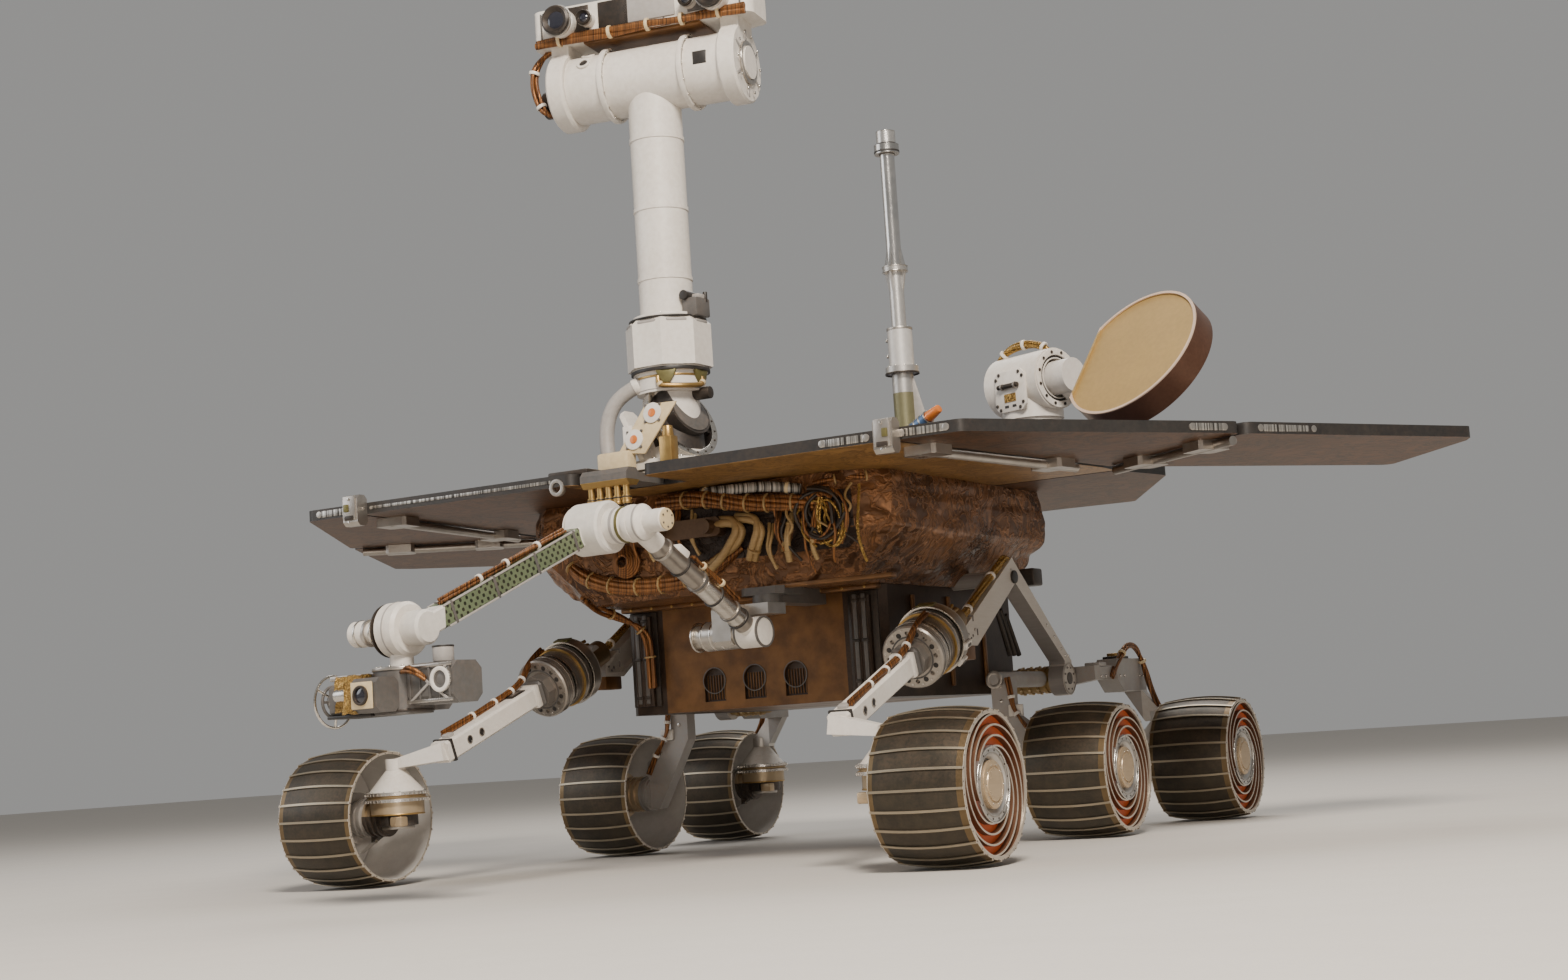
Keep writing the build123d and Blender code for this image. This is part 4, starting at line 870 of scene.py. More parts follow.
@dataclass
class Studio:
    """The camera at the photograph's viewing angle, the pale floor and the soft lights."""

    place: tuple = (2.1405, -3.5581, 0.2027)
    azimuth: float = 29.716
    elevation: float = -5.988
    roll: float = -3.742
    focal: float = 2246.96
    image: tuple = (1568, 980)
    centre_row: float = 510.86
    sensor: float = 36.0
    sight: float = 200.0
    floor_size: float = 40.0
    sky: tuple = (0.86, 0.85, 0.83, 1.0)
    sky_strength: float = 0.36

    def build(self, effects: Effects) -> None:
        """Makes the camera, the floor, the lights and the world."""
        self._camera()
        floor = bmesh.new()
        bmesh.ops.create_grid(floor, x_segments=8, y_segments=8, size=self.floor_size / 2)
        mesh = bpy.data.meshes.new("floor")
        floor.to_mesh(mesh)
        floor.free()
        mesh.materials.append(
            Finish(
                "pale_floor", (0.6, 0.56, 0.51), (0.56, 0.52, 0.47), 0.8, bump=0.03, dust=0.0
            ).make(effects)
        )
        ground = bpy.data.objects.new("floor", mesh)
        bpy.context.scene.collection.objects.link(ground)
        lights = (
            ("key", (2.6, -3.4, 4.0), 1.5, 430.0, (1.0, 0.93, 0.84)),
            ("fill", (-3.8, -2.6, 2.2), 3.2, 60.0, (0.92, 0.95, 1.0)),
            ("low", (2.9, -4.4, 0.6), 1.6, 34.0, (1.0, 0.9, 0.8)),
            ("top", (-0.6, 2.6, 4.4), 3.0, 130.0, (1.0, 0.98, 0.95)),
        )
        for name, place, size, power, colour in lights:
            self._light(name, Vector(place), size, power, colour)
        world = bpy.data.worlds.new("studio")
        world.use_nodes = True
        sky = world.node_tree.nodes["Background"].inputs
        sky["Color"].default_value = self.sky
        sky["Strength"].default_value = self.sky_strength
        bpy.context.scene.world = world

    def _camera(self) -> None:
        """The camera, turned as the photograph's was."""
        az, el, roll = (math.radians(angle) for angle in (self.azimuth, self.elevation, self.roll))
        ahead = Vector((-math.sin(az) * math.cos(el), math.cos(az) * math.cos(el), -math.sin(el)))
        right = ahead.cross(Vector((0, 0, 1))).normalized()
        up = right.cross(ahead)
        across = math.cos(roll) * right + math.sin(roll) * up
        upward = -math.sin(roll) * right + math.cos(roll) * up
        turned = Matrix((across, upward, -ahead)).transposed().to_4x4()
        data = bpy.data.cameras.new("camera")
        data.sensor_width = self.sensor
        data.lens = self.sensor * self.focal / self.image[0]
        data.shift_y = (self.centre_row - self.image[1] / 2) / self.image[0]
        data.clip_end = self.sight
        camera = bpy.data.objects.new("camera", data)
        camera.matrix_world = Matrix.Translation(self.place) @ turned
        bpy.context.scene.collection.objects.link(camera)
        bpy.context.scene.camera = camera

    @staticmethod
    def _light(name: str, place: Vector, size: float, power: float, colour: Colour) -> None:
        """A soft area light that looks at the middle of the rover."""
        data = bpy.data.lights.new(name, "AREA")
        data.shape = "DISK"
        data.size = size
        data.energy = power
        data.color = colour
        light = bpy.data.objects.new(name, data)
        aimed = (Vector((0, 0, 0.6)) - place).to_track_quat("-Z", "Y")
        light.matrix_world = Matrix.Translation(place) @ aimed.to_matrix().to_4x4()
        bpy.context.scene.collection.objects.link(light)


WIDE = 9.0
SILVER = (0.58, 0.56, 0.53)
WHITE = (0.72, 0.68, 0.62)
INK = (0.022, 0.021, 0.021)
TAN = (0.6, 0.47, 0.32)
SAND = (0.6, 0.53, 0.44)


@dataclass
class Dressing:
    """The materials of the nodes that come from the CAD model."""

    rows: tuple = WHEEL_ROWS
    axle_height: float = AXLE_HEIGHT

    def build(self, effects: Effects) -> None:
        """Makes every finish and gives each node its own."""
        Piece.materials = {coat: FINISHES[coat.value].make(effects) for coat in Coat}
        for name, finish in self._finishes().items():
            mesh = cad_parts[name].data
            material = finish.make(effects)
            mesh.materials.clear()
            mesh.materials.append(material)
        log.info("dressed %d nodes", len(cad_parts))

    def _finishes(self) -> dict[str, Finish]:
        """Each node's finish by its name."""
        table = {}
        for side, sign in SIDES:
            for row, y, x, pin in self.rows:
                centre = (sign * x, y + AXLE_SHIFT, self.axle_height)
                table[f"wheel_{row}_{side}"] = self._wheel(f"wheel_{row}_{side}", centre, sign)
                if pin:
                    table[f"knuckle_{row}_{side}"] = self._knuckle(
                        f"knuckle_{row}_{side}", centre, sign, pin
                    )
            table[f"rocker_{side}"] = self._rocker(f"rocker_{side}")
            table[f"bogie_{side}"] = self._bogie(f"bogie_{side}")
            table[f"front_arm_{side}"] = self._front_arm(f"front_arm_{side}", sign)
            table[f"wing_hinges_{side}"] = self._like(Coat.ALLOY, f"wing_hinges_{side}")
            for panel in ("wing_front", "wing_rear"):
                table[f"{panel}_{side}"] = self._panel(f"{panel}_{side}")
        for panel in ("deck_core", "tail_panel"):
            table[panel] = self._panel(panel)
        plain = {
            "hazard_cameras_rear": Coat.DARK, "shoulder_mount": Coat.SLATE, "shoulder_yaw": Coat.ALLOY,
            "wrist": Coat.WHITE, "turret": Coat.SLATE, "camera_head": Coat.WHITE,
            "mast_tube": Coat.WHITE, "dish_base": Coat.WHITE, "dish_gimbal": Coat.WHITE,
            "upper_body": Coat.BLANKET,
        }
        for name, coat in plain.items():
            table[name] = self._like(coat, name)
        table["mast_foot"] = self._like(
            Coat.WHITE, "mast_foot",
            Zone((-WIDE, -WIDE, 0.0), (WIDE, WIDE, 0.722), (0.62, 0.58, 0.52), 0.4),
            Zone((-0.0315, 0.0, 0.0), (0.0315, 0.0664, WIDE), (0.05, 0.045, 0.042), 0.4, 0.5, Space.AXLE),
            Zone((-0.0084, 0.0662, 0.0), (0.0084, 0.0785, WIDE), (0.5, 0.48, 0.45), 0.26, 0.85, Space.AXLE),
            centre=tuple(at(0.016, -0.541, 0.793)), axis=(0.883, -0.191, 0.429),
        )
        table["hazard_cameras_front"] = self._like(
            Coat.DARK, "hazard_cameras_front",
            Zone((-WIDE,) * 3, (WIDE,) * 3, (0.105, 0.06, 0.032), 0.4, 0.4)
        )
        across = tuple(ARM_FRAME.to_3x3() @ Vector((1, 0, 0)))
        shoulder = ARM_FRAME @ Vector((0.0, *ARM_SHOULDER))
        elbow = ARM_FRAME @ Vector((0.0, *ARM_ELBOW))
        housing = ARM_FRAME @ Vector((-0.094, *ARM_WRIST))
        reach = Vector((0.034, 0.036, 0.036))
        table["forearm"] = self._like(
            Coat.GREEN, "forearm",
            Zone((-WIDE, 0.0, 0.0), (WIDE, 0.0466, WIDE), WHITE, 0.4, 0.0, Space.AXLE, grain=Grain.SMOOTH),
            Zone(tuple(housing - reach), tuple(housing + reach), WHITE, 0.4, grain=Grain.SMOOTH),
            centre=tuple(elbow), axis=across,
        )
        table["upper_arm"] = self._like(
            Coat.WHITE, "upper_arm",
            Zone((0.03, 0.0, 0.0), (0.3, 0.0215, WIDE), (0.36, 0.325, 0.285), 0.3, 0.85, Space.AXLE),
            centre=tuple(shoulder), axis=tuple((elbow - shoulder).normalized()),
        )
        table["deck_core"] = replace(
            table["deck_core"],
            zones=table["deck_core"].zones + (
                # Gold foil under the deck; its darker second colour along the creases is painted shade.
                Zone(
                    (-0.1, -WIDE, 0.0), (0.624, WIDE, 0.6734), (0.36, 0.195, 0.06), 0.42, 0.35,
                    shade=(0.045, 0.02, 0.008), grain=Grain.CRINKLED, grain_size=0.6, grain_share=0.85,
                ),
            ),
        )
        table["connector_block"] = self._like(
            Coat.SLATE, "connector_block",
            Zone((-WIDE, -WIDE, 0.0), (WIDE, WIDE, 0.6735), (0.5, 0.33, 0.12), 0.35, 0.9)
        )
        posts = (((-WIDE, -WIDE, 0.0), (-0.196, WIDE, 0.49)), ((0.196, -WIDE, 0.0), (WIDE, WIDE, 0.49)))
        table["lower_body"] = self._like(
            Coat.BRONZE, "lower_body",
            *(
                Zone(low, high, (0.05, 0.032, 0.022), 0.4, 0.5, shade=(0.02, 0.012, 0.008)) for low,
                high in posts
            ),
            Zone(
                (-WIDE, -0.31 + AXLE_SHIFT + 0.002, 0.0), (WIDE, -0.31 + AXLE_SHIFT + 0.0095, 0.37),
                (0.03, 0.016, 0.009)
            ),
        )
        table["low_gain_mast"] = self._low_gain()
        table["dish"] = self._dish()
        return table

    @staticmethod
    def _like(coat: Coat, name: str, *zones: Zone, **others: tuple | float) -> Finish:
        """A shared finish under a node's own name, with zones of its own."""
        return replace(FINISHES[coat.value], name=name + "_finish", zones=zones, **others)

    @staticmethod
    def _wheel(name: str, centre: tuple, sign: float) -> Finish:
        """A wheel, finished by how far out and how far from its axle a place is."""
        def zone(low: tuple, high: tuple, colour: Colour, roughness: float, metallic: float) -> Zone:
            """A zone measured from the axle."""
            return Zone(low, high, colour, roughness, metallic, Space.AXLE)

        zones = (
            zone((0.07, 0.1, 0.0), (WIDE, WIDE, WIDE), (0.175, 0.12, 0.062), 0.36, 0.85),
            zone((-WIDE, 0.1, 0.0), (-0.072, WIDE, WIDE), (0.195, 0.135, 0.07), 0.36, 0.85),
            zone((-0.08, 0.0, 0.1236), (0.08, WIDE, WIDE), (0.4, 0.34, 0.25), 0.36, 0.85),
            zone((-WIDE, 0.0, 0.0), (0.0672, WIDE, 0.1212), (0.74, 0.71, 0.67), 0.45, 0.15),
            zone((-WIDE, 0.108, 0.0), (-0.08, WIDE, WIDE), SAND, 0.4, 0.6),
            zone((0.066, 0.0, 0.0), (WIDE, 0.1125, WIDE), (0.3, 0.2, 0.14), 0.45, 0.5),
            zone((0.0805, 0.105, 0.0), (WIDE, WIDE, WIDE), SAND, 0.34, 0.7),
            zone((0.0672, 0.055, 0.0), (0.069, 0.1145, WIDE), (0.62, 0.105, 0.015), 0.55, 0.0),
            zone((0.069, 0.055, 0.0), (0.0786, 0.112, WIDE), (0.13, 0.06, 0.03), 0.5, 0.3),
            zone((0.0786, 0.055, 0.0), (WIDE, 0.112, WIDE), SAND, 0.34, 0.6),
            zone((0.04, 0.0, 0.0), (WIDE, 0.0606, WIDE), SILVER, 0.3, 0.85),
        )
        return Finish(
            name + "_finish", (0.04, 0.036, 0.029), (0.085, 0.068, 0.046), 0.42, 0.7, Grain.CAST, dust=0.12,
            zones=zones, centre=centre, axis=(sign, 0.0, 0.0), bump=0.15,
        )

    @staticmethod
    def _knuckle(name: str, centre: tuple, sign: float, pin: float) -> Finish:
        """A steering tower with its drive motor."""
        low_y, high_y = centre[1] - 0.0572, centre[1] + 0.0572
        low_x, high_x = pin - 0.0572, pin + 0.0572

        def band(bottom: float, top: float, colour: Colour, roughness: float, metallic: float) -> Zone:
            """A level band round the steering pin, on both sides."""
            return Zone(
                (low_x, low_y, bottom), (high_x, high_y, top), colour, roughness, metallic, Space.MIRRORED
            )

        zones = (
            band(0.0, 0.1275, (0.06, 0.055, 0.05), 0.45, 0.4),
            band(0.1275, 0.1502, (0.5, 0.39, 0.25), 0.35, 0.6),
            band(0.1502, 0.156, SILVER, 0.28, 0.9),
            band(0.156, 0.162, (0.5, 0.38, 0.22), 0.4, 0.8),
            band(0.162, 0.1682, SILVER, 0.28, 0.9),
            band(0.1682, 0.4, WHITE, 0.4, 0.0),
            Zone((0.07, 0.0, 0.0), (WIDE, 0.048, WIDE), TAN, 0.25, 0.6, Space.AXLE),
        )
        return Finish(
            name + "_finish", (0.5, 0.48, 0.45), (0.33, 0.31, 0.29), 0.4, 0.6, Grain.CAST, zones=zones,
            centre=centre, axis=(sign, 0.0, 0.0), dust=0.3,
        )

    @staticmethod
    def _rocker(name: str) -> Finish:
        """A rocker's V, with painted shade on the faces that look forward."""
        return Finish(
            name + "_finish", (0.54, 0.5, 0.45), (0.44, 0.4, 0.35), 0.42, 0.2, Grain.BRUSHED, bump=0.05,
            dust=0.15,
            zones=(
                # Painted shade: faces that look forward are a darker grey.
                Zone(
                    (-WIDE, -WIDE, -WIDE), (WIDE, -0.3, 0.75), (0.27, 0.25, 0.235), 0.45, 0.2, Space.FACING
                ),
            ),
        )

    @staticmethod
    def _bogie(name: str) -> Finish:
        """A bogie with its ribbed drum, its grey legs and its steel blade."""
        def zone(low: tuple, high: tuple, colour: Colour, roughness: float, metallic: float) -> Zone:
            """A zone with its corners measured from the middle axle, on both sides."""
            shifted = [(x, y + AXLE_SHIFT, z) for x, y, z in (low, high)]
            return Zone(*shifted, colour, roughness, metallic, Space.MIRRORED)

        zones = (
            zone((0.28, 0.19, 0.27), (0.3738, 0.25, 0.33), (0.42, 0.29, 0.13), 0.4, 0.75),
            zone((0.3738, 0.18, 0.26), (0.4065, 0.26, 0.34), (0.3, 0.29, 0.28), 0.35, 0.5),
            zone((0.448, 0.4, 0.1), (0.5, 0.6, 0.272), (0.62, 0.59, 0.55), 0.3, 0.7),
            zone((0.46, -0.05, 0.07), (0.7, 0.05, 0.18), TAN, 0.3, 0.55),
        )
        return Finish(
            name + "_finish", (0.36, 0.345, 0.325), (0.27, 0.25, 0.235), 0.45, 0.3, Grain.CAST, zones=zones,
            dust=0.35,
        )

    @staticmethod
    def _front_arm(name: str, sign: float) -> Finish:
        """The stepped drive drum and the white arm after it."""
        start, end = at(0.388 * sign, -0.262, 0.406), at(0.405 * sign, -0.736, 0.232)
        bands = (
            (-0.05, 0.0602, 0.1, (0.22, 0.15, 0.075), 0.4, 0.7),
            (0.0602, 0.0775, 0.1, (0.25, 0.225, 0.2), 0.33, 0.85),
            (0.0775, 0.1022, 0.1, (0.36, 0.325, 0.285), 0.28, 0.85),
            (0.1022, 0.1142, 0.1, INK, 0.5, 0.1),
            (0.1142, 0.1262, 0.1, (0.34, 0.31, 0.275), 0.28, 0.85),
            (0.1262, 0.1522, 0.1, (0.25, 0.225, 0.2), 0.33, 0.85),
            (0.1522, 0.1582, 0.1, INK, 0.5, 0.1),
            (0.1582, 0.1884, 0.1, (0.4, 0.365, 0.325), 0.28, 0.8),
            (0.1884, 0.2102, 0.1, (0.24, 0.22, 0.2), 0.4, 0.5),
        )
        zones = tuple(
            Zone((low, 0.0, 0.0), (high, reach, WIDE), colour, rough, metal, Space.AXLE)
            for low, high, reach, colour, rough, metal in bands
        )
        return Finish(
            name + "_finish", WHITE, (0.62, 0.58, 0.53), 0.42, 0.0, zones=zones, dust=0.25, bump=0.05,
            centre=tuple(start), axis=tuple((end - start).normalized()),
        )

    @staticmethod
    def _panel(name: str) -> Finish:
        """A solar panel: cells on top, brown film below and a black edge."""
        film = (0.125, 0.052, 0.016)
        return Finish(
            name + "_finish", (0.008, 0.012, 0.034), (0.13, 0.13, 0.14), 0.36, 0.0, Grain.CELLS, 1.0, 1.0,
            0.15, dust=0.07,
            zones=(
                # Brown film on the faces that look down; its darker second colour along the creases is
                # painted shade.
                Zone(
                    (-WIDE, -WIDE, -WIDE), (WIDE, WIDE, -0.5), film, 0.46, 0.7, Space.FACING,
                    (0.018, 0.008, 0.004), Grain.CRINKLED, 0.45, 0.9,
                ),
                Zone(
                    (-WIDE, -WIDE, -0.5), (WIDE, WIDE, 0.5), INK, 0.4, 0.3, Space.FACING,
                    (0.05, 0.045, 0.04), Grain.SMOOTH
                ),
            ),
        )

    @staticmethod
    def _low_gain() -> Finish:
        """The thin antenna: olive foot, polished tube, silver cap."""
        bands = (
            (0.0, 0.009, (0.5, 0.47, 0.42), 0.4, 0.6), (0.009, 0.105, (0.2, 0.185, 0.1), 0.4, 0.5),
            (0.105, 0.151, (0.55, 0.53, 0.5), 0.35, 0.8), (0.151, 0.219, (0.6, 0.58, 0.55), 0.4, 0.4),
            (0.219, 0.32, (0.62, 0.6, 0.57), 0.3, 0.8), (0.32, 0.328, (0.5, 0.48, 0.45), 0.3, 0.8),
            (0.328, 0.53, (0.7, 0.68, 0.65), 0.16, 1.0), (0.53, 0.5455, SILVER, 0.2, 1.0),
            (0.5455, 0.549, INK, 0.5, 0.0), (0.549, 0.6, (0.66, 0.64, 0.61), 0.25, 0.9),
        )
        zones = tuple(
            Zone((-WIDE, -WIDE, DECK_TOP + low), (WIDE, WIDE, DECK_TOP + high), colour, rough, metal)
            for low, high, colour, rough, metal in bands
        )
        return Finish(
            "low_gain_finish", (0.5, 0.48, 0.45), (0.4, 0.38, 0.35), 0.35, 0.7, zones=zones, dust=0.1
        )

    @staticmethod
    def _dish() -> Finish:
        """The dish: a tan-gold face, a dark rim and a pale clevis behind."""
        centre = DISH_TILTED @ Vector((0.273, 0.0, 0.0))
        axis = (DISH_TILTED.to_3x3() @ Vector((0, 0, 1))).normalized()
        zones = (
            Zone((0.0165, 0.0, 0.0), (WIDE, 0.1402, WIDE), (0.42, 0.275, 0.095), 0.45, 0.25, Space.AXLE),
            Zone((-WIDE, 0.1398, 0.0), (0.02, 0.1425, WIDE), (0.11, 0.05, 0.03), 0.35, 0.45, Space.AXLE),
            Zone((0.0196, 0.1345, 0.0), (WIDE, 0.1425, WIDE), (0.74, 0.55, 0.42), 0.35, 0.3, Space.AXLE),
        )
        return Finish(
            "dish_finish", (0.66, 0.63, 0.59), (0.5, 0.46, 0.42), 0.42, 0.0, zones=zones, dust=0.15,
            centre=tuple(centre), axis=tuple(axis), bump=0.05,
        )


@dataclass
class RunningGear:
    """Rings, bolts and caps on the wheels and the steering towers."""

    rows: tuple = WHEEL_ROWS
    half_width: float = 0.0815
    axle_height: float = AXLE_HEIGHT
    rim_bolt_circle: float = 0.1146
    hub_face: float = 0.0775
    ring_heights: tuple = (0.1525, 0.1645)
    ring_radius: float = 0.056
    tooth_count: int = 40

    def build(self) -> None:
        """Dresses each wheel, its motor cap and its steering tower."""
        for side, sign in SIDES:
            for row, y, x, pin in self.rows:
                axle = at(sign * x, y, self.axle_height)
                self._wheel(row + "_" + side, outward(axle, sign))
                body = f"steer_{row}_{side}" if pin else "rover"
                self._cap(row + "_" + side, body, outward(axle, sign))
                if pin:
                    self._tower(row + "_" + side, body, at(sign * pin, y, 0.0), sign)

    def _wheel(self, name: str, axle: Matrix) -> None:
        """The bolts and thin rings that turn with a wheel."""
        piece = Piece("wheel_trim_" + name, "wheel_" + name, "wheel_alloy")
        face = moved(axle, z=self.half_width)
        piece.bolt_circle(Coat.SLATE, face, self.rim_bolt_circle, 36, 0.0013, 0.0007)
        hub = moved(axle, z=self.hub_face)
        piece.ring(Coat.STEEL, hub, 0.0596, 0.056, 0.0016)
        piece.bolt_circle(Coat.DARK, hub, 0.053, 16, 0.0016, 0.0009)
        piece.ring(Coat.ALLOY, hub, 0.05, 0.0482, 0.0012)
        # A black hoop just under the rim's lip: a painted shadow line.
        piece.coil(Coat.BLACK, moved(axle, z=self.half_width - 0.0119), 0.1112, 0.0012, 6)
        piece.coil(Coat.RIM, moved(axle, z=self.half_width - 0.0003), 0.1119, 0.0006, 6)
        inner = moved(axle, z=-self.half_width) @ rolled(180.0, "X")
        piece.bolt_circle(Coat.SLATE, inner, 0.1133, 36, 0.0012, 0.0006)
        piece.done()

    def _cap(self, name: str, body: str, axle: Matrix) -> None:
        """The polished cap of a drive motor, seen in the hub."""
        piece = Piece("motor_cap_" + name, body, "bare_alloy")
        face = moved(axle, z=self.hub_face)
        outline = (
            (0.0, 0.0), (0.0366, 0.0), (0.0366, 0.0012), (0.0335, 0.0022), (0.029, 0.0022),
            (0.0282, 0.001), (0.0268, 0.001), (0.026, 0.003), (0.0, 0.0034),
        )
        piece.lathe(Coat.TAN, face, outline, closed=False)
        piece.bolt_circle(Coat.STEEL, moved(face, z=0.002), 0.0312, 10, 0.0014, 0.0009)
        piece.done()

    def _tower(self, name: str, body: str, pin: Vector, sign: float) -> None:
        """The toothed rings, the cone's screws and the block under the barrel."""
        piece = Piece("steering_trim_" + name, body, "bare_alloy")
        base = Matrix.Translation(pin)
        for height in self.ring_heights:
            for tooth in range(self.tooth_count):
                turn = Matrix.Rotation(math.tau * tooth / self.tooth_count, 4, "Z")
                piece.block(
                    Coat.STEEL, (self.ring_radius, 0, 0), (0.0016, 0.0034, 0.0042),
                    moved(base, z=height) @ turn, 0
                )
        piece.ring(Coat.BRASS, moved(base, z=0.1268), 0.049, 0.047, 0.003)
        piece.bolt_circle(Coat.STEEL, moved(base, z=0.1682), 0.0528, 12, 0.0018, 0.0014)
        piece.ring(Coat.ALLOY, moved(base, z=0.102), 0.03, 0.012, 0.0062)
        piece.block(
            Coat.TAN, pin + Vector((sign * -0.03, -0.034, 0.1155)), (0.026, 0.02, 0.018), bevel=0.003
        )
        piece.block(
            Coat.DARK, pin + Vector((sign * -0.004, -0.0375, 0.118)), (0.018, 0.01, 0.02)
        )
        strut = pin + Vector((sign * 0.028, -0.0082, 0.0905))
        plate = Matrix.Translation(strut) @ rolled(90.0, "X")
        piece.bolts(
            Coat.STEEL, plate, [(sign * -0.014, 0.016), (sign * 0.006, 0.006), (sign * 0.016, -0.008)],
            0.0032, 0.002
        )
        piece.done()


@dataclass
class DriveDrums:
    """The stepped drums of the front arms and the white arms after them."""

    root: tuple = (0.388, -0.262, 0.406)
    elbow: tuple = (0.405, -0.736, 0.232)
    face: float = 0.188
    nut_end: float = 0.21
    arm_half: float = 0.019

    def build(self) -> None:
        """Dresses both arms."""
        for side, sign in SIDES:
            start = at(self.root[0] * sign, *self.root[1:])
            end = at(self.elbow[0] * sign, *self.elbow[1:])
            run = run_frame(start, end)
            self._drum(side, sign, run)
            self._arm(side, sign, run, (end - start).length)

    def _drum(self, side: str, sign: float, run: Matrix) -> None:
        """The rings, clips, patch and face of a drum."""
        piece = Piece("drum_trim_" + side, "rover", "bare_alloy")
        piece.rings(run, (
            (Coat.ALLOY, 0.0772, 0.0634, 0.058, 0.0022), (Coat.STEEL, 0.1, 0.0638, 0.058, 0.0024),
            (Coat.STEEL, 0.1135, 0.0597, 0.05, 0.0016), (Coat.BRASS, 0.125, 0.0597, 0.05, 0.0014),
            (Coat.SLATE, 0.133, 0.0556, 0.05, 0.001), (Coat.SLATE, 0.141, 0.0556, 0.05, 0.001),
            (Coat.STEEL, 0.15, 0.056, 0.05, 0.002), (Coat.STEEL, 0.164, 0.0577, 0.05, 0.003),
            (Coat.SLATE, 0.176, 0.0576, 0.05, 0.0014),
        ), 0.0004)
        face = moved(run, z=self.face)
        piece.bolt_circle(Coat.BLACK, face, 0.044, 8, 0.0048, 0.0006)
        piece.bolt_circle(Coat.STEEL, face, 0.05, 16, 0.0016, 0.001)
        piece.ring(Coat.SLATE, face, 0.0395, 0.0365, 0.0008)
        for turn in (-14.0, -44.0):
            clip = run @ rolled(turn if sign > 0 else 180 - turn)
            piece.block(Coat.WHITE, (0.0648, 0, 0.09), (0.007, 0.013, 0.03), clip, 0.0022)
            piece.block(Coat.SLATE, (0.0688, 0, 0.09), (0.003, 0.005, 0.012), clip, 0.0008)
        piece.block(Coat.OLIVE, (0.0, 0.0628, 0.088), (0.034, 0.003, 0.018), run, 0.001)
        for turn in range(0, 360, 30):
            rib = run @ rolled(turn + 15)
            piece.block(Coat.SLATE, (0.0459, 0, 0.07), (0.003, 0.006, 0.013), rib, 0.0008)
        piece.done()

    def _arm(self, side: str, sign: float, run: Matrix, length: float) -> None:
        """The square housing nut, the arm's pads and recesses, and its cable."""
        piece = Piece("front_arm_trim_" + side, "rover", "white_paint")
        nut = moved(run, z=self.nut_end)
        piece.block(Coat.SLATE, (0, 0, 0.005), (0.05, 0.05, 0.012), nut, 0.006, 1)
        piece.block(Coat.WHITE, (0, 0, 0.018), (0.044, 0.044, 0.016), nut, 0.004)
        top = self.arm_half + 0.0006
        piece.block(Coat.BLACK, (0, top, 0.268), (0.02, 0.003, 0.042), run, 0.0014)
        piece.block(Coat.SLATE, (0, top + 0.001, 0.268), (0.009, 0.003, 0.026), run, 0.0012)
        for place in (length - 0.098, length - 0.062):
            for reach in (-1.0, 1.0):
                side_frame = moved(run, reach * self.arm_half, 0, place) @ rolled(90.0 * reach, "Y")
                piece.disc(Coat.BLACK, side_frame, 0.0058, 0.0008)
                piece.ring(Coat.ALLOY, side_frame, 0.0078, 0.0058, 0.0012, 0.0004)
        piece.block(Coat.BLACK, (0, 0, length - 0.013), (0.0415, 0.0415, 0.006), run, 0.001)
        piece.block(Coat.GREY, (0, 0.021, length - 0.03), (0.018, 0.008, 0.016), run, 0.002)
        piece.done()
        line = ((0.018, 0.061, 0.135), (0.016, 0.056, 0.18), (0.011, 0.033, 0.222), (0.009, 0.025, 0.262),
                (0.01, 0.0245, 0.33), (0.009, 0.025, 0.4), (0.011, 0.0245, length - 0.03))
        points = tuple(run @ Vector((sign * x, y, z)) for x, y, z in line)
        Bundle(
            "arm_cable_" + side, "rover", points, 0.0032, 3, 0.0036, Coat.COPPER, (0.3, 0.5, 0.68, 0.86),
            Coat.WHITE,
        ).make()
        neck = ((0.012, 0.026, 0.004), (0.02, 0.027, 0.03), (0.03, 0.03, 0.06))
        tubes = tuple(run @ Vector((sign * x, y, z)) for x, y, z in neck)
        Bundle("neck_tubes_" + side, "rover", tubes, 0.0034, 3, 0.006, Coat.GOLD).make()


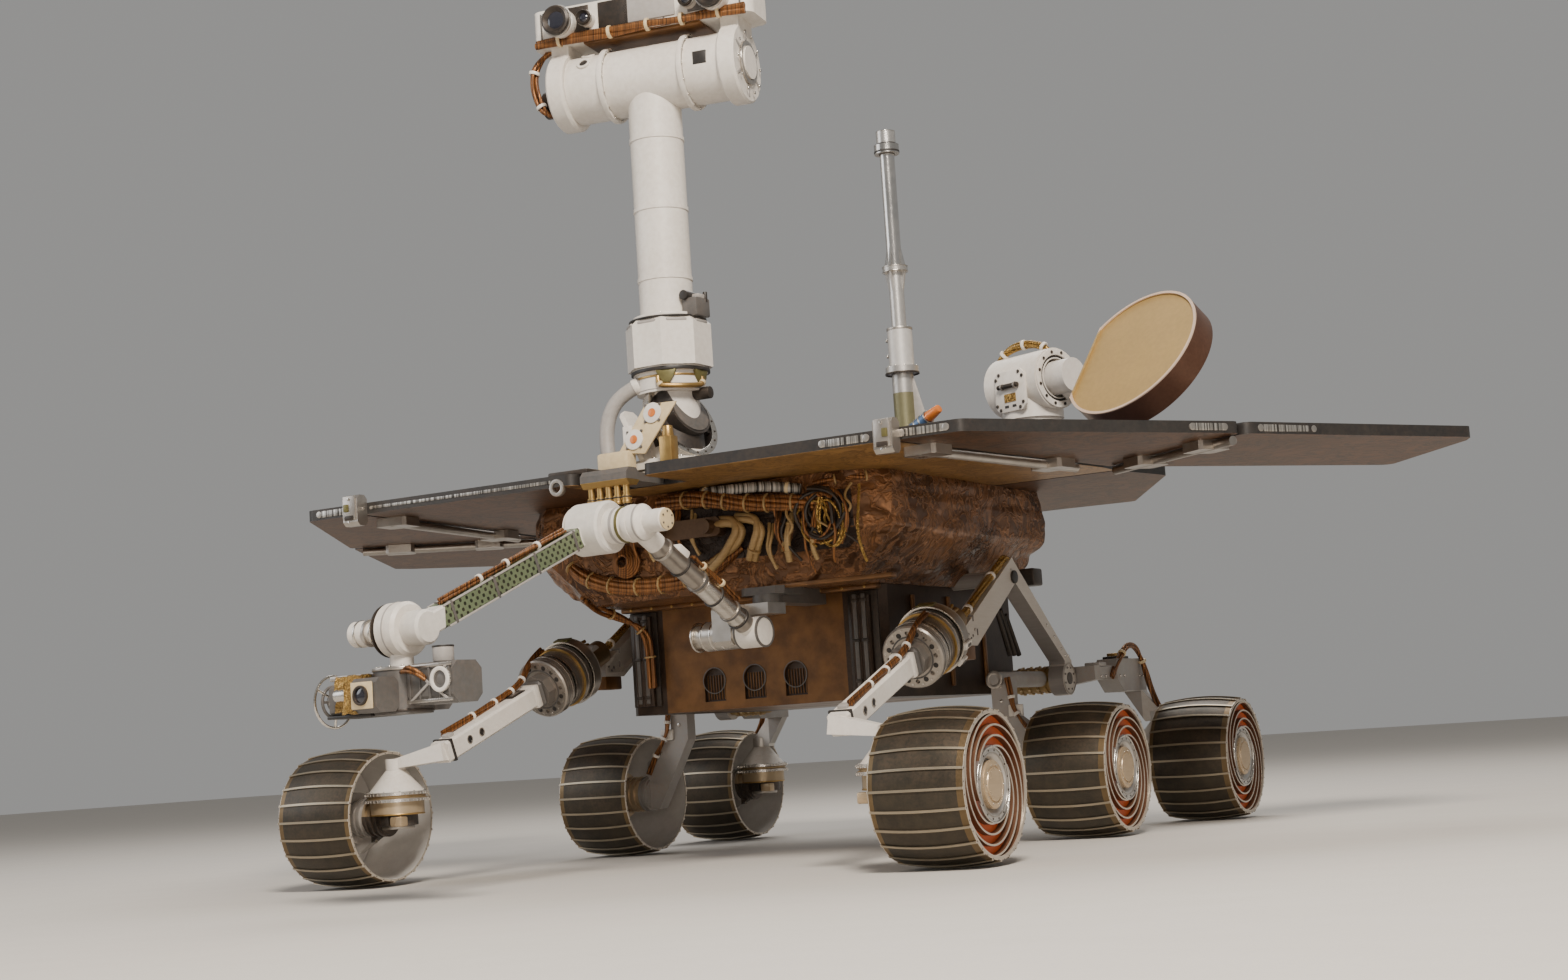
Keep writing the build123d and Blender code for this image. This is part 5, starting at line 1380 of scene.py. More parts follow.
@dataclass
class Suspension:
    """Cables, bolts and blocks on the rockers and bogies."""

    plate_face: float = 0.4052
    bar_x: float = 0.43

    def build(self) -> None:
        """Dresses both sides."""
        for side, sign in SIDES:
            self._rocker(side, sign)
            self._bogie(side, sign)

    def _rocker(self, side: str, sign: float) -> None:
        """The rocker's foot, its bolts and the cable on its front leg."""
        def here(x: float, y: float, z: float) -> Vector:
            """A place on this side of the rover."""
            return at(x * sign, y, z)

        piece = Piece("rocker_trim_" + side, "rover", "bare_alloy")
        piece.rod(Coat.GREY, here(0.37, -0.286, 0.411), here(0.402, -0.286, 0.411), 0.014)
        piece.rod(Coat.BRONZE, here(0.402, -0.286, 0.411), here(0.408, -0.286, 0.411), 0.0112)
        piece.block(Coat.BRONZE, here(0.388, -0.226, 0.3505), (0.03, 0.056, 0.026), bevel=0.003)
        piece.block(Coat.DARK, here(0.342, 0.1475, 0.5015), (0.09, 0.045, 0.034), bevel=0.004)
        leg = [(0.218, 0.325), (0.224, 0.345), (0.207, 0.345), (0.19, 0.359), (0.16, 0.382), (0.128, 0.405)]
        for y, z in leg:
            piece.rod(
                Coat.STEEL, here(self.plate_face - 0.001, y, z), here(self.plate_face + 0.0018, y, z), 0.003,
                sides=10
            )
        for y, z in ((-0.232, 0.38), (-0.2, 0.392), (-0.02, 0.506), (0.006, 0.495)):
            piece.rod(
                Coat.ALLOY, here(self.plate_face - 0.001, y, z), here(self.plate_face + 0.0016, y, z),
                0.0034, sides=10
            )
        for y in (0.06, 0.082, 0.104):
            piece.rod(
                Coat.DARK, here(0.33, y, 0.478 - y * 0.45), here(0.33, y + 0.052, 0.352), 0.005, sides=12
            )
        piece.rod(Coat.BLACK, here(0.405, -0.013, 0.494), here(0.41, -0.013, 0.494), 0.0125)
        piece.done()
        edge = ((0.392, 0.02, 0.505), (0.395, -0.01, 0.54), (0.395, -0.06, 0.512), (0.394, -0.13, 0.472),
                (0.394, -0.2, 0.43), (0.393, -0.25, 0.404), (0.392, -0.276, 0.412))
        Bundle(
            "rocker_cable_" + side, "rover", tuple(here(*p) for p in edge), 0.0036, 4, 0.0046, Coat.GOLD,
            (0.4, 0.72), Coat.WHITE,
        ).make()

    def _bogie(self, side: str, sign: float) -> None:
        """The pivot's pins, the corner block's fittings and the cables down both legs."""
        def here(x: float, y: float, z: float) -> Vector:
            """A place on this side of the rover."""
            return at(x * sign, y, z)

        piece = Piece("bogie_trim_" + side, "rover", "grey_paint")
        pivot = outward(here(0.4052, 0.221, 0.301), sign)
        piece.ring(Coat.ALLOY, pivot, 0.031, 0.0285, 0.0014)
        piece.bolt_circle(Coat.SLATE, pivot, 0.0225, 8, 0.0022, 0.0014)
        piece.disc(Coat.SLATE, pivot, 0.012, 0.002)
        for turn in range(0, 360, 45):
            around = outward(here(0.33, 0.221, 0.301), sign) @ rolled(turn)
            for reach in (-0.022, -0.004, 0.014):
                piece.block(Coat.CREAM, (0.0272, 0, reach), (0.0024, 0.0042, 0.005), around, 0.0008)
        piece.blocks(Matrix(), (
            (Coat.BLACK, here(self.bar_x, 0.41, 0.3395), (0.034, 0.06, 0.006), 0.002),
            (Coat.BRASS, here(self.bar_x, 0.402, 0.345), (0.022, 0.026, 0.008), 0.002),
            (Coat.GREY, here(0.43, 0.3, 0.326), (0.032, 0.04, 0.008), 0.002),
        ))
        for y in (0.288, 0.312, 0.372, 0.395, 0.48, 0.5):
            x = 0.4448 if y < 0.35 else 0.452
            piece.rod(Coat.STEEL, here(x, y, 0.302), here(x + 0.0024, y, 0.302), 0.003, sides=10)
        piece.block(Coat.WHITE, here(0.392, -0.0165, 0.243), (0.03, 0.006, 0.022))
        for x, z in ((0.363, 0.29), (0.363, 0.262), (0.386, 0.236), (0.41, 0.206)):
            piece.rod(Coat.STEEL, here(x, -0.0148, z), here(x, -0.0172, z), 0.0034, sides=10)
        piece.ring(Coat.ALLOY, turn_about(here(0.354, -0.02, 0.303), 90.0, "X"), 0.0172, 0.01, 0.004)
        piece.done()
        over = ((0.448, 0.335, 0.3), (0.452, 0.372, 0.335), (0.452, 0.42, 0.366), (0.454, 0.47, 0.36),
                (0.46, 0.494, 0.315), (0.468, 0.5, 0.262), (0.482, 0.497, 0.236))
        Bundle(
            "rear_cable_" + side, "rover", tuple(here(*p) for p in over), 0.0032, 3, 0.004, Coat.COPPER,
            (0.18, 0.62), Coat.CREAM,
        ).make()
        down = ((0.38, -0.02, 0.306), (0.386, -0.022, 0.276), (0.388, -0.022, 0.25), (0.402, -0.022, 0.226),
                (0.424, -0.021, 0.196), (0.44, -0.02, 0.165))
        Bundle(
            "middle_cable_" + side, "rover", tuple(here(*p) for p in down), 0.003, 2, 0.0032, Coat.COPPER,
            (0.2, 0.5, 0.8), Coat.WHITE,
        ).make()


@dataclass
class Mast:
    """The mast's foot, neck, collar and tube."""

    foot_y: float = MAST_Y
    deck_top: float = DECK_TOP
    bezel_tilt: tuple = (24.0, 62.0)
    tube_radius: float = 0.0485
    collar: tuple = (0.888, 0.975, 0.078)

    def build(self) -> None:
        """Dresses the foot, then what turns."""
        self._foot()
        self._bezel()
        self._tube()

    def _foot(self) -> None:
        """The foot's bolts, its bracket, its cables and the connectors' collars."""
        piece = Piece("mast_foot_trim", "rover", "white_paint")
        base = Matrix.Translation(at(0.0, self.foot_y, self.deck_top))
        piece.bolt_circle(Coat.STEEL, moved(base, z=0.028), 0.072, 18, 0.0036, 0.003)
        piece.rings(base, (
            (Coat.DARK, 0.006, 0.0932, 0.08, 0.004),
            (Coat.GREY, 0.154, 0.0633, 0.06, 0.0016),
            (Coat.BLACK, 0.1862, 0.0712, 0.06, 0.006),
            (Coat.BRASS, 0.176, 0.064, 0.06, 0.004),
        ))
        for turn in (-65.0, -3.0, 115.0, 177.0):
            bracket = turn_about(at(0.0, self.foot_y, 0.872), turn) @ rolled(90.0, "Y")
            outline = (
                (-0.009, -0.019), (-0.009, 0.019), (0.004, 0.014), (0.016, 0.006), (0.016, -0.006),
                (0.004, -0.014)
            )
            piece.plate(Coat.OLIVE, moved(bracket, z=0.061), outline, 0.0075, 0.0014)
        knob = turn_about(at(0.0, self.foot_y, 0.838), 2.0)
        piece.rod(Coat.DARK, knob @ Vector((0.044, 0, 0)), knob @ Vector((0.08, 0, 0)), 0.011)
        piece.blocks(base, (
            (Coat.DARK, (-0.094, -0.15, 0.004), (0.084, 0.11, 0.01), 0.003),
            (Coat.CREAM, (-0.058, -0.103, 0.0215), (0.066, 0.03, 0.045), 0.005),
            (Coat.WHITE, (-0.036, -0.088, 0.064), (0.02, 0.022, 0.052), 0.003),
        ))
        leaf = base @ Matrix.Translation((0.0, -0.093, 0.08)) @ rolled(82.0, "X")
        piece.plate(
            Coat.CREAM, leaf, ((0.0, 0.044), (0.066, 0.042), (0.002, -0.046), (-0.054, -0.038)), 0.0045,
            0.0016
        )
        for x, y in ((0.017, 0.026), (-0.02, -0.018)):
            spot = moved(leaf, x, y, 0.0045)
            piece.disc(Coat.WHITE, spot, 0.0185, 0.003)
            piece.disc(Coat.ORANGE, moved(spot, z=0.003), 0.0078, 0.0014)
            piece.bolt_circle(Coat.SLATE, spot, 0.0205, 4, 0.0026, 0.003)
        piece.block(Coat.BRASS, (0.05, -0.1, 0.03), (0.026, 0.024, 0.062), base, 0.003)
        piece.rod(Coat.BRASS, at(0.05, -0.637, 0.75), at(0.05, -0.637, 0.772), 0.011, 0.0085)
        eye = turn_about(at(-0.105, -0.752, 0.672), 90.0, "X")
        piece.ring(Coat.ALLOY, eye, 0.015, 0.0085, 0.01)
        piece.done()
        plugs = Piece("plug_trim", "rover", "brass_plugs")
        for step in range(5):
            plug = Matrix.Translation(at(-0.048 + 0.018 * step, -0.738, 0.632))
            plugs.ring(Coat.BRASS, moved(plug, z=0.001), 0.0086, 0.006, 0.004, 0.0006)
            plugs.ring(Coat.DARK, moved(plug, z=0.0105), 0.0084, 0.006, 0.0024, 0.0004)
            for tooth in range(0, 360, 30):
                grip = plug @ rolled(tooth)
                plugs.block(Coat.BRASS, (0.008, 0, 0.0085), (0.0012, 0.0018, 0.003), grip, 0)
            plugs.disc(Coat.DARK, moved(plug, z=-0.005), 0.0056, 0.006)
        plugs.done()
        hose = ((-0.094, -0.604, 0.688), (-0.1, -0.604, 0.735), (-0.104, -0.6, 0.79), (-0.088, -0.596, 0.832),
                (-0.056, -0.586, 0.856), (-0.03, -0.576, 0.866))
        Bundle(
            "mast_hose", "rover", route(hose), 0.0138, coat=Coat.GREY, ties=(0.03, 0.9), tie_coat=Coat.WHITE,
            tie_width=0.012
        ).make()
        around = ((-78.0, 0.066, 0.868), (-78.0, 0.07, 0.853), (-62.0, 0.071, 0.85), (-40.0, 0.071, 0.849),
                  (-20.0, 0.071, 0.85), (-4.0, 0.071, 0.853), (-2.0, 0.066, 0.866))
        pipe = tuple(
            at(
                reach * math.cos(math.radians(turn)), self.foot_y + reach * math.sin(math.radians(turn)),
                height
            )
            for turn, reach, height in around
        )
        Bundle("mast_pipe", "rover", pipe, 0.0046, coat=Coat.BRASS, ties=(0.12, 0.88)).make()

    def _bezel(self) -> None:
        """The big tilted ring, with its dark inside and its bolts."""
        tilt_x, tilt_y = self.bezel_tilt
        place = Matrix.Translation(at(0.016, self.foot_y - 0.004, 0.793))
        place = place @ rolled(tilt_x, "X") @ rolled(tilt_y, "Y")
        piece = Piece("mast_bezel_trim", "rover", "bare_alloy")
        piece.disc(Coat.BLACK, moved(place, z=-0.007), 0.0665, 0.002)
        piece.ring(Coat.STEEL, moved(place, z=0.007), 0.0786, 0.0655, 0.0026)
        piece.bolt_circle(Coat.DARK, moved(place, z=0.0096), 0.0722, 20, 0.0022, 0.001)
        piece.ring(Coat.STEEL, moved(place, z=0.001), 0.025, 0.013, 0.006)
        piece.disc(Coat.SLATE, moved(place, z=0.029), 0.04, 0.003)
        piece.done()

    def _tube(self) -> None:
        """Painted shadow lines along the tops of the collar's facets, the tube's seams and the head of the
        tee.
        """
        piece = Piece("mast_tube_trim", "mast_turn", "white_paint")
        base = Matrix.Translation(at(0.0, self.foot_y, 0.0))
        low, high, radius = self.collar
        piece.ring(Coat.BLACK, moved(base, z=high + 0.0002), radius * 0.9, self.tube_radius, 0.0026)
        piece.ring(Coat.WHITE, moved(base, z=high + 0.0028), radius * 0.8, self.tube_radius, 0.006)
        # Grey strips at the top of each of the collar's facets: painted shadow lines.
        for turn in range(0, 360, 45):
            facet = moved(base, z=low) @ rolled(turn)
            piece.block(Coat.GREY, (radius * 0.9, 0, 0.08), (0.006, 0.038, 0.006), facet, 0.0024)
        switch = turn_about(at(0.0, self.foot_y, 0.992), -2.0)
        piece.block(Coat.SLATE, (0.063, 0, 0), (0.032, 0.044, 0.034), switch, 0.003)
        piece.block(Coat.GREY, (0.066, 0.004, 0.02), (0.022, 0.03, 0.008), switch, 0.002)
        piece.rod(
            Coat.BLACK, switch @ Vector((0.055, -0.028, 0.022)), switch @ Vector((0.055, 0.002, 0.022)),
            0.0088
        )
        piece.rod(
            Coat.BLACK, switch @ Vector((0.076, 0.012, 0.01)), switch @ Vector((0.076, 0.012, 0.029)), 0.004
        )
        piece.bolt_circle(Coat.STEEL, moved(base, z=high + 0.0088), 0.0555, 24, 0.0014, 0.0012)
        tee = HEAD_FRAME @ rolled(90.0, "Y")
        for place in (-0.112, -0.03, 0.03):
            piece.ring(Coat.GREY, moved(tee, z=place), 0.0606, 0.058, 0.001, 0.0002)
        for place in (-0.083, 0.073):
            piece.ring(Coat.WHITE, moved(tee, z=place), 0.069, 0.06, 0.01, 0.0016)
            piece.bolt_circle(Coat.STEEL, moved(tee, z=place + 0.01), 0.0655, 14, 0.0024, 0.0018)
        for turn in (205.0, 235.0):
            boss = moved(tee, z=-0.092) @ rolled(turn)
            hole = moved(boss, 0.06, 0, -0.022) @ rolled(90.0, "Y")
            piece.ring(Coat.WHITE, hole, 0.013, 0.008, 0.004)
            piece.disc(Coat.BLACK, hole, 0.0082, 0.0016)
        piece.done()


@dataclass
class MastHead:
    """The camera bar: its lenses, brackets, motor and drooping cable."""

    bar_bottom: float = 1.506
    bar: tuple = (0.43, 0.096, 0.068)
    outer_cameras: float = 0.15
    inner_cameras: float = 0.1
    axis_height: float = HEAD_HEIGHT

    def build(self) -> None:
        """Dresses the head, in its own frame."""
        piece = Piece("head_trim", "mast_head", "white_paint")
        middle = self.bar_bottom - self.axis_height + self.bar[2] / 2
        front = -self.bar[1] / 2
        ahead = HEAD_FRAME @ rolled(90.0, "X")
        for x, radius, reach in (
            (-self.outer_cameras, 0.027, 0.034), (self.outer_cameras, 0.027, 0.034),
            (-self.inner_cameras, 0.014, 0.022), (self.inner_cameras, 0.014, 0.022),
        ):
            lens = moved(ahead, x, middle, -front + reach)
            piece.lathe(
                Coat.DARK, lens,
                (
                    (radius * 0.55, 0), (radius * 0.98, 0), (radius * 0.98, 0.005), (radius * 0.86, 0.007),
                    (radius * 0.62, 0.002)
                ),
            )
            piece.lathe(
                Coat.GLASS, lens, ((0.0, 0.0034), (radius * 0.35, 0.0028), (radius * 0.6, 0.0008)),
                closed=False
            )
            piece.ring(Coat.ALLOY, moved(lens, z=-0.006), radius * 1.08, radius * 0.9, 0.004)
        half = self.bar[0] / 2
        for x in (-half + 0.02, -0.048, 0.048, half - 0.02):
            piece.block(
                Coat.SLATE, (x, front - 0.0006, middle), (0.003, 0.003, self.bar[2] * 0.82), HEAD_FRAME,
                0.0006
            )
        for x in (-0.19, -0.03, 0.03, 0.19):
            for rise in (-0.026, 0.026):
                screw = moved(ahead, x, middle + rise, -front)
                piece.disc(Coat.STEEL, screw, 0.003, 0.0018, sides=10)
        piece.block(
            Coat.BRONZE, (0.0, 0.0, self.bar_bottom - self.axis_height - 0.003), (0.23, 0.088, 0.006),
            HEAD_FRAME, 0.002
        )
        for x, wide, coat in (
            (-0.125, 0.052, Coat.DARK), (0.02, 0.1, Coat.GREY), (0.125, 0.06, Coat.SLATE),
            (-0.05, 0.06, Coat.DARK)
        ):
            piece.block(coat, (x, front - 0.001, middle + 0.006), (wide, 0.004, 0.048), HEAD_FRAME, 0.0012)
        piece.block(Coat.BLACK, (0.116, -0.0585, 0.006), (0.026, 0.006, 0.024), HEAD_FRAME, 0.001)
        side = HEAD_FRAME @ rolled(90.0, "Y")
        for place in (0.1843, -0.1923):
            cap = moved(side, z=place)
            piece.ring(Coat.ALLOY, cap, 0.04, 0.031, 0.0048)
            piece.bolt_circle(Coat.STEEL, moved(cap, z=0.003), 0.054, 10, 0.0028, 0.0034)
        motor = moved(side, 0.014, 0.006, -0.218)
        piece.disc(Coat.DARK, motor, 0.025, 0.026)
        piece.disc(Coat.BRASS, moved(motor, z=-0.004), 0.016, 0.004)
        for turn in range(0, 360, 60):
            rib = HEAD_FRAME @ Matrix.Translation((0.168, 0, 0)) @ rolled(turn, "X")
            piece.block(Coat.GREY, (0, 0, 0.052), (0.0352, 0.006, 0.02), rib, 0.001)
        piece.done()
        lip = tuple(
            HEAD_FRAME @ Vector((x, front - 0.004, middle - 0.03 + 0.002 * (k % 2)))
            for k, x in enumerate((-0.205, -0.13, -0.06, 0.01, 0.08, 0.15, 0.205))
        )
        Bundle(
            "head_tray_cable", "mast_head", lip, 0.006, 2, 0.0045, ties=(0.08, 0.3, 0.52, 0.72, 0.9),
            tie_coat=Coat.CREAM
        ).make()
        droop = (
            (-0.19, -0.01, 0.086), (-0.222, -0.022, 0.062), (-0.23, -0.026, 0.02), (-0.214, -0.024, -0.03),
            (-0.196, -0.018, -0.046), (-0.186, -0.01, -0.02),
        )
        Bundle(
            "head_cable", "mast_head", route(droop, HEAD_FRAME), 0.004, 3, 0.0052, ties=(0.25, 0.6),
            tie_coat=Coat.WHITE,
        ).make()


@dataclass
class LowGainMast:
    """The thin antenna's bands, bolts, restraint and tipped cylinder."""

    place: tuple = (0.42, -0.45)
    deck_top: float = DECK_TOP

    def build(self) -> None:
        """Dresses the antenna and its foot."""
        piece = Piece("low_gain_trim", "rover", "bare_alloy")
        base = Matrix.Translation(at(*self.place, self.deck_top))
        piece.rings(base, (
            (Coat.STEEL, 0.319, 0.0228, 0.012, 0.0014), (Coat.STEEL, 0.3276, 0.0228, 0.012, 0.0014),
            (Coat.BLACK, 0.532, 0.0225, 0.02, 0.003), (Coat.STEEL, 0.569, 0.0172, 0.002, 0.0014),
            (Coat.ALLOY, 0.009, 0.0215, 0.018, 0.008), (Coat.DARK, 0.138, 0.03, 0.028, 0.003),
            (Coat.ALLOY, 0.216, 0.0228, 0.012, 0.004), (Coat.DARK, 0.529, 0.014, 0.012, 0.0016),
        ), 0.0003)
        piece.bolt_circle(Coat.STEEL, moved(base, z=0.009), 0.025, 8, 0.0026, 0.0024)
        piece.bolt_circle(Coat.STEEL, moved(base, z=0.151), 0.0258, 10, 0.0018, 0.0018)
        for height in (0.172, 0.2):
            screw = moved(base, -0.0212, -0.006, height) @ rolled(-90.0, "Y")
            piece.disc(Coat.STEEL, screw, 0.0034, 0.003, sides=12)
        web = moved(base, 0.014, 0.0015, 0.006) @ rolled(90.0, "X")
        piece.plate(Coat.GREY, web, ((0, 0), (0.036, 0), (0.036, 0.02), (0.006, 0.128), (0, 0.128)), 0.003)
        piece.block(Coat.GREY, (0.044, -0.028, 0.02), (0.048, 0.052, 0.038), base, 0.004)
        hole = moved(base, 0.044, -0.054, 0.022) @ rolled(90.0, "X")
        piece.ring(Coat.ALLOY, hole, 0.015, 0.011, 0.0026)
        piece.disc(Coat.BLACK, hole, 0.0112, 0.001)
        start, end = at(0.452, -0.5, 0.722), at(0.52, -0.522, 0.752)
        reach = end - start
        piece.rod(Coat.BLUE, start, start + reach * 0.62, 0.011)
        for share in (0.1, 0.26, 0.42, 0.6):
            piece.ring(Coat.STEEL, aim(start + reach * share, end), 0.0122, 0.009, 0.003)
        piece.rod(Coat.ORANGE, start + reach * 0.64, end, 0.01, 0.007, 0.0016)
        piece.block(Coat.OLIVE, at(0.5, -0.516, 0.6975), (0.03, 0.018, 0.009))
        piece.done()


@dataclass
class Dish:
    """The fittings of the dish's gimbal and foot."""

    gimbal_half: float = 0.068

    def build(self) -> None:
        """Dresses the gimbal and the foot."""
        self._gimbal()
        self._foot()

    def _gimbal(self) -> None:
        """The flange plate, the pins, the patches and the slots of the housing."""
        piece = Piece("gimbal_trim", "dish_turn", "white_paint")
        side = DISH_FRAME @ rolled(90.0, "Y")
        mouth = moved(side, z=self.gimbal_half)
        piece.rings(mouth, (
            (Coat.WHITE, 0.0, 0.056, 0.044, 0.004),
            (Coat.BLACK, 0.0, 0.0436, 0.0395, 0.0012),
            (Coat.WHITE, 0.0, 0.0392, 0.0372, 0.003),
        ))
        piece.bolt_circle(Coat.DARK, moved(mouth, z=0.004), 0.05, 12, 0.0032, 0.0018)
        back = moved(side, z=-self.gimbal_half) @ rolled(180.0, "X")
        piece.disc(Coat.WHITE, back, 0.05, 0.005)
        piece.bolt_circle(Coat.DARK, moved(back, z=0.005), 0.042, 8, 0.0034, 0.002)
        piece.disc(Coat.ALLOY, moved(back, z=0.005), 0.018, 0.005)
        front = DISH_FRAME @ rolled(90.0, "X")
        plate = moved(front, 0.004, -0.018, 0.056)
        outline = ((-0.03, -0.038), (0.03, -0.038), (0.04, -0.028), (0.04, 0.03), (0.03, 0.04), (-0.03, 0.04),
                   (-0.04, 0.03), (-0.04, -0.028))
        piece.plate(Coat.WHITE, plate, outline, 0.006, 0.0014)
        edge = [(x * 0.86, y * 0.86) for x, y in outline]
        piece.bolts(Coat.DARK, moved(plate, z=0.006), edge, 0.0034, 0.0022)
        piece.rod(
            Coat.DARK, plate @ Vector((-0.026, 0.01, 0.011)), plate @ Vector((0.026, 0.01, 0.011)), 0.0046
        )
        for x in (-0.017, 0.017):
            piece.ring(
                Coat.ALLOY, aim(plate @ Vector((x, 0.01, 0.011)), plate @ Vector((1, 0.01, 0.011))), 0.0064,
                0.004, 0.004
            )
        piece.block(Coat.GOLD, (0, -0.012, 0.0064), (0.03, 0.016, 0.0022), plate, 0.0008)
        for x in (-0.01, 0.01):
            piece.block(Coat.BLACK, (x, -0.028, 0.0062), (0.01, 0.005, 0.0016), plate, 0.0006)
        piece.done()
        arch = (
            (-0.04, -0.03, -0.048), (-0.074, -0.026, -0.01), (-0.078, -0.018, 0.038), (-0.05, -0.008, 0.072),
            (-0.006, 0.004, 0.08), (0.034, 0.012, 0.068), (0.044, 0.016, 0.052),
        )
        Bundle(
            "gimbal_cable", "dish_turn", route(arch, DISH_FRAME), 0.0036, 4, 0.0052, Coat.GOLD,
            (0.22, 0.45, 0.68, 0.88), Coat.WHITE,
        ).make()

    def _foot(self) -> None:
        """The bolts and rings of the gimbal's foot."""
        piece = Piece("dish_foot_trim", "rover", "white_paint")
        base = Matrix.Translation(at(0.465, 0.0, DECK_TOP))
        corners = [(x * 0.052, y * 0.047) for x in (-1, 1) for y in (-1, 1)]
        piece.bolts(Coat.STEEL, moved(base, z=0.018), corners + [(0, 0.0505), (0, -0.0505)], 0.0044, 0.0034)
        piece.ring(Coat.GREY, moved(base, z=0.04), 0.0534, 0.05, 0.004)
        piece.ring(Coat.DARK, moved(base, z=0.086), 0.0534, 0.05, 0.003)
        piece.block(Coat.GREY, (0.02, -0.06, 0.01), (0.04, 0.006, 0.014), base, 0.0012)
        piece.done()


@dataclass
class Deck:
    """The edge strips, which are striated lengths, and the latches on the front seams."""

    top: float = DECK_TOP
    thickness: float = 0.02
    # Columns: start, end, the shares where a length lies, its height, and the sides that have it.
    edges: tuple = (
        ((0.09, -0.76), (0.537, -0.76), 0.74, 0.92, 0.0125, (1.0,)),
        ((0.549, -0.76), (0.66, -0.76), 0.14, 0.84, 0.0125, (1.0, -1.0)),
        ((0.677, -0.746), (0.956, -0.316), 0.84, 0.97, 0.0125, (1.0, -1.0)),
        ((0.976, -0.275), (1.225, 0.154), 0.04, 0.28, 0.0125, (1.0, -1.0)),
        ((0.976, -0.275), (1.225, 0.154), 0.86, 0.98, 0.011, (1.0, -1.0)),
        ((0.09, -0.76), (0.537, -0.76), 0.04, 0.96, 0.006, (-1.0,)),
        ((1.205, 0.222), (1.02, 0.458), 0.4, 0.6, 0.0125, (1.0, -1.0)),
        ((0.648, 0.196), (0.444, 0.57), 0.4, 0.6, 0.0125, (1.0, -1.0)),
    )

    def build(self) -> None:
        """Makes the strips of both sides."""
        piece = Piece("deck_edge_strips", "rover", "solar_panel")
        middle = self.top - self.thickness / 2
        for (x1, y1), (x2, y2), low, high, tall, sides in self.edges:
            for sign in sides:
                start, end = at(sign * x1, y1, middle), at(sign * x2, y2, middle)
                self._strip(piece, start.lerp(end, low), start.lerp(end, high), tall)
        piece.done()
        self._joints()

    @staticmethod
    def _strip(piece: Piece, start: Vector, end: Vector, tall: float) -> None:
        """A striated length with rounded ends, set on an edge."""
        place = run_frame(start, end)
        length = (end - start).length
        piece.block(Coat.STRIPED, (0, 0, length / 2), (0.0026, tall, length), place, 0.0012)
        for spot in (0.0, length):
            piece.rod(
                Coat.ALLOY, place @ Vector((-0.0014, 0, spot)), place @ Vector((0.0014, 0, spot)), tall / 2,
                bevel=0.0004, sides=20
            )

    def _joints(self) -> None:
        """The silver latches on the front seams, each with a small olive pad."""
        piece = Piece("deck_latches", "rover", "bare_alloy")
        for sign in (1.0, -1.0):
            place = Matrix.Translation(at(sign * 0.545, -0.774, 0.679))
            piece.blocks(place, (
                (Coat.ALLOY, (0, -0.015, 0.004), (0.028, 0.004, 0.044), 0.0012),
                (Coat.OLIVE, (sign * 0.006, -0.018, 0.004), (0.01, 0.004, 0.014), 0.0012),
                (Coat.DARK, (0, -0.017, -0.014), (0.02, 0.004, 0.008), 0.0012),
            ))
            for rise in (0.02, -0.022):
                screw = moved(place, 0, -0.017, rise) @ rolled(90.0, "X")
                piece.disc(Coat.STEEL, screw, 0.0028, 0.002, sides=10)
        piece.done()


# Tied runs: name, points, radius, strands, spread, ties, finish and twist.
HARNESS_RUNS = (
    (
        "harness_across",
        (
            (-0.06, -0.503, 0.652), (0.011, -0.522, 0.655), (0.075, -0.526, 0.645), (0.137, -0.526, 0.632),
            (0.2, -0.524, 0.627), (0.275, -0.505, 0.62),
        ),
        0.0052, 7, 0.0105, (0.14, 0.3, 0.46, 0.62, 0.78, 0.92), Coat.COPPER, 0.5,
    ),
    (
        "harness_low",
        (
            (-0.29, -0.486, 0.6), (-0.268, -0.5, 0.556), (-0.213, -0.503, 0.524), (-0.139, -0.503, 0.509),
            (-0.058, -0.503, 0.507), (0.008, -0.504, 0.515), (0.067, -0.511, 0.538), (0.104, -0.508, 0.566),
        ),
        0.0056, 7, 0.01, (0.1, 0.22, 0.34, 0.46, 0.58, 0.7, 0.84), Coat.COPPER, 0.4,
    ),
    (
        "harness_top_right",
        ((0.262, -0.505, 0.65), (0.3, -0.5, 0.658), (0.345, -0.47, 0.662), (0.368, -0.43, 0.664)),
        0.004, 4, 0.007, (0.3, 0.7), Coat.COPPER, 0.6,
    ),
    (
        "strap_first",
        (
            (0.045, -0.508, 0.606), (0.093, -0.524, 0.61), (0.12, -0.526, 0.59), (0.104, -0.528, 0.564),
            (0.075, -0.526, 0.543), (0.04, -0.518, 0.524),
        ),
        0.0075, 2, 0.006, (), Coat.STRAP, 0.0,
    ),
    (
        "strap_second",
        (
            (0.098, -0.508, 0.612), (0.143, -0.522, 0.609), (0.16, -0.526, 0.586), (0.148, -0.528, 0.558),
            (0.132, -0.516, 0.534),
        ),
        0.0065, 2, 0.005, (0.9,), Coat.STRAP, 0.0,
    ),
    (
        "strap_third",
        ((0.216, -0.508, 0.606), (0.212, -0.522, 0.58), (0.209, -0.524, 0.552), (0.206, -0.512, 0.524)),
        0.0062, 1, 0.0, (0.2, 0.85), Coat.STRAP, 0.0,
    ),
    (
        "strap_fourth",
        ((0.258, -0.508, 0.59), (0.268, -0.524, 0.566), (0.256, -0.524, 0.545), (0.262, -0.512, 0.522)),
        0.0045, 1, 0.0, (0.5,), Coat.STRAP, 0.0,
    ),
    (
        "harness_right_down",
        (
            (-0.25, -0.486, 0.5), (-0.262, -0.44, 0.484), (-0.252, -0.372, 0.468), (-0.222, -0.334, 0.44),
            (-0.214, -0.33, 0.39), (-0.216, -0.326, 0.33),
        ),
        0.0042, 3, 0.006, (0.3, 0.6, 0.85), Coat.COPPER, 0.5,
    ),
)


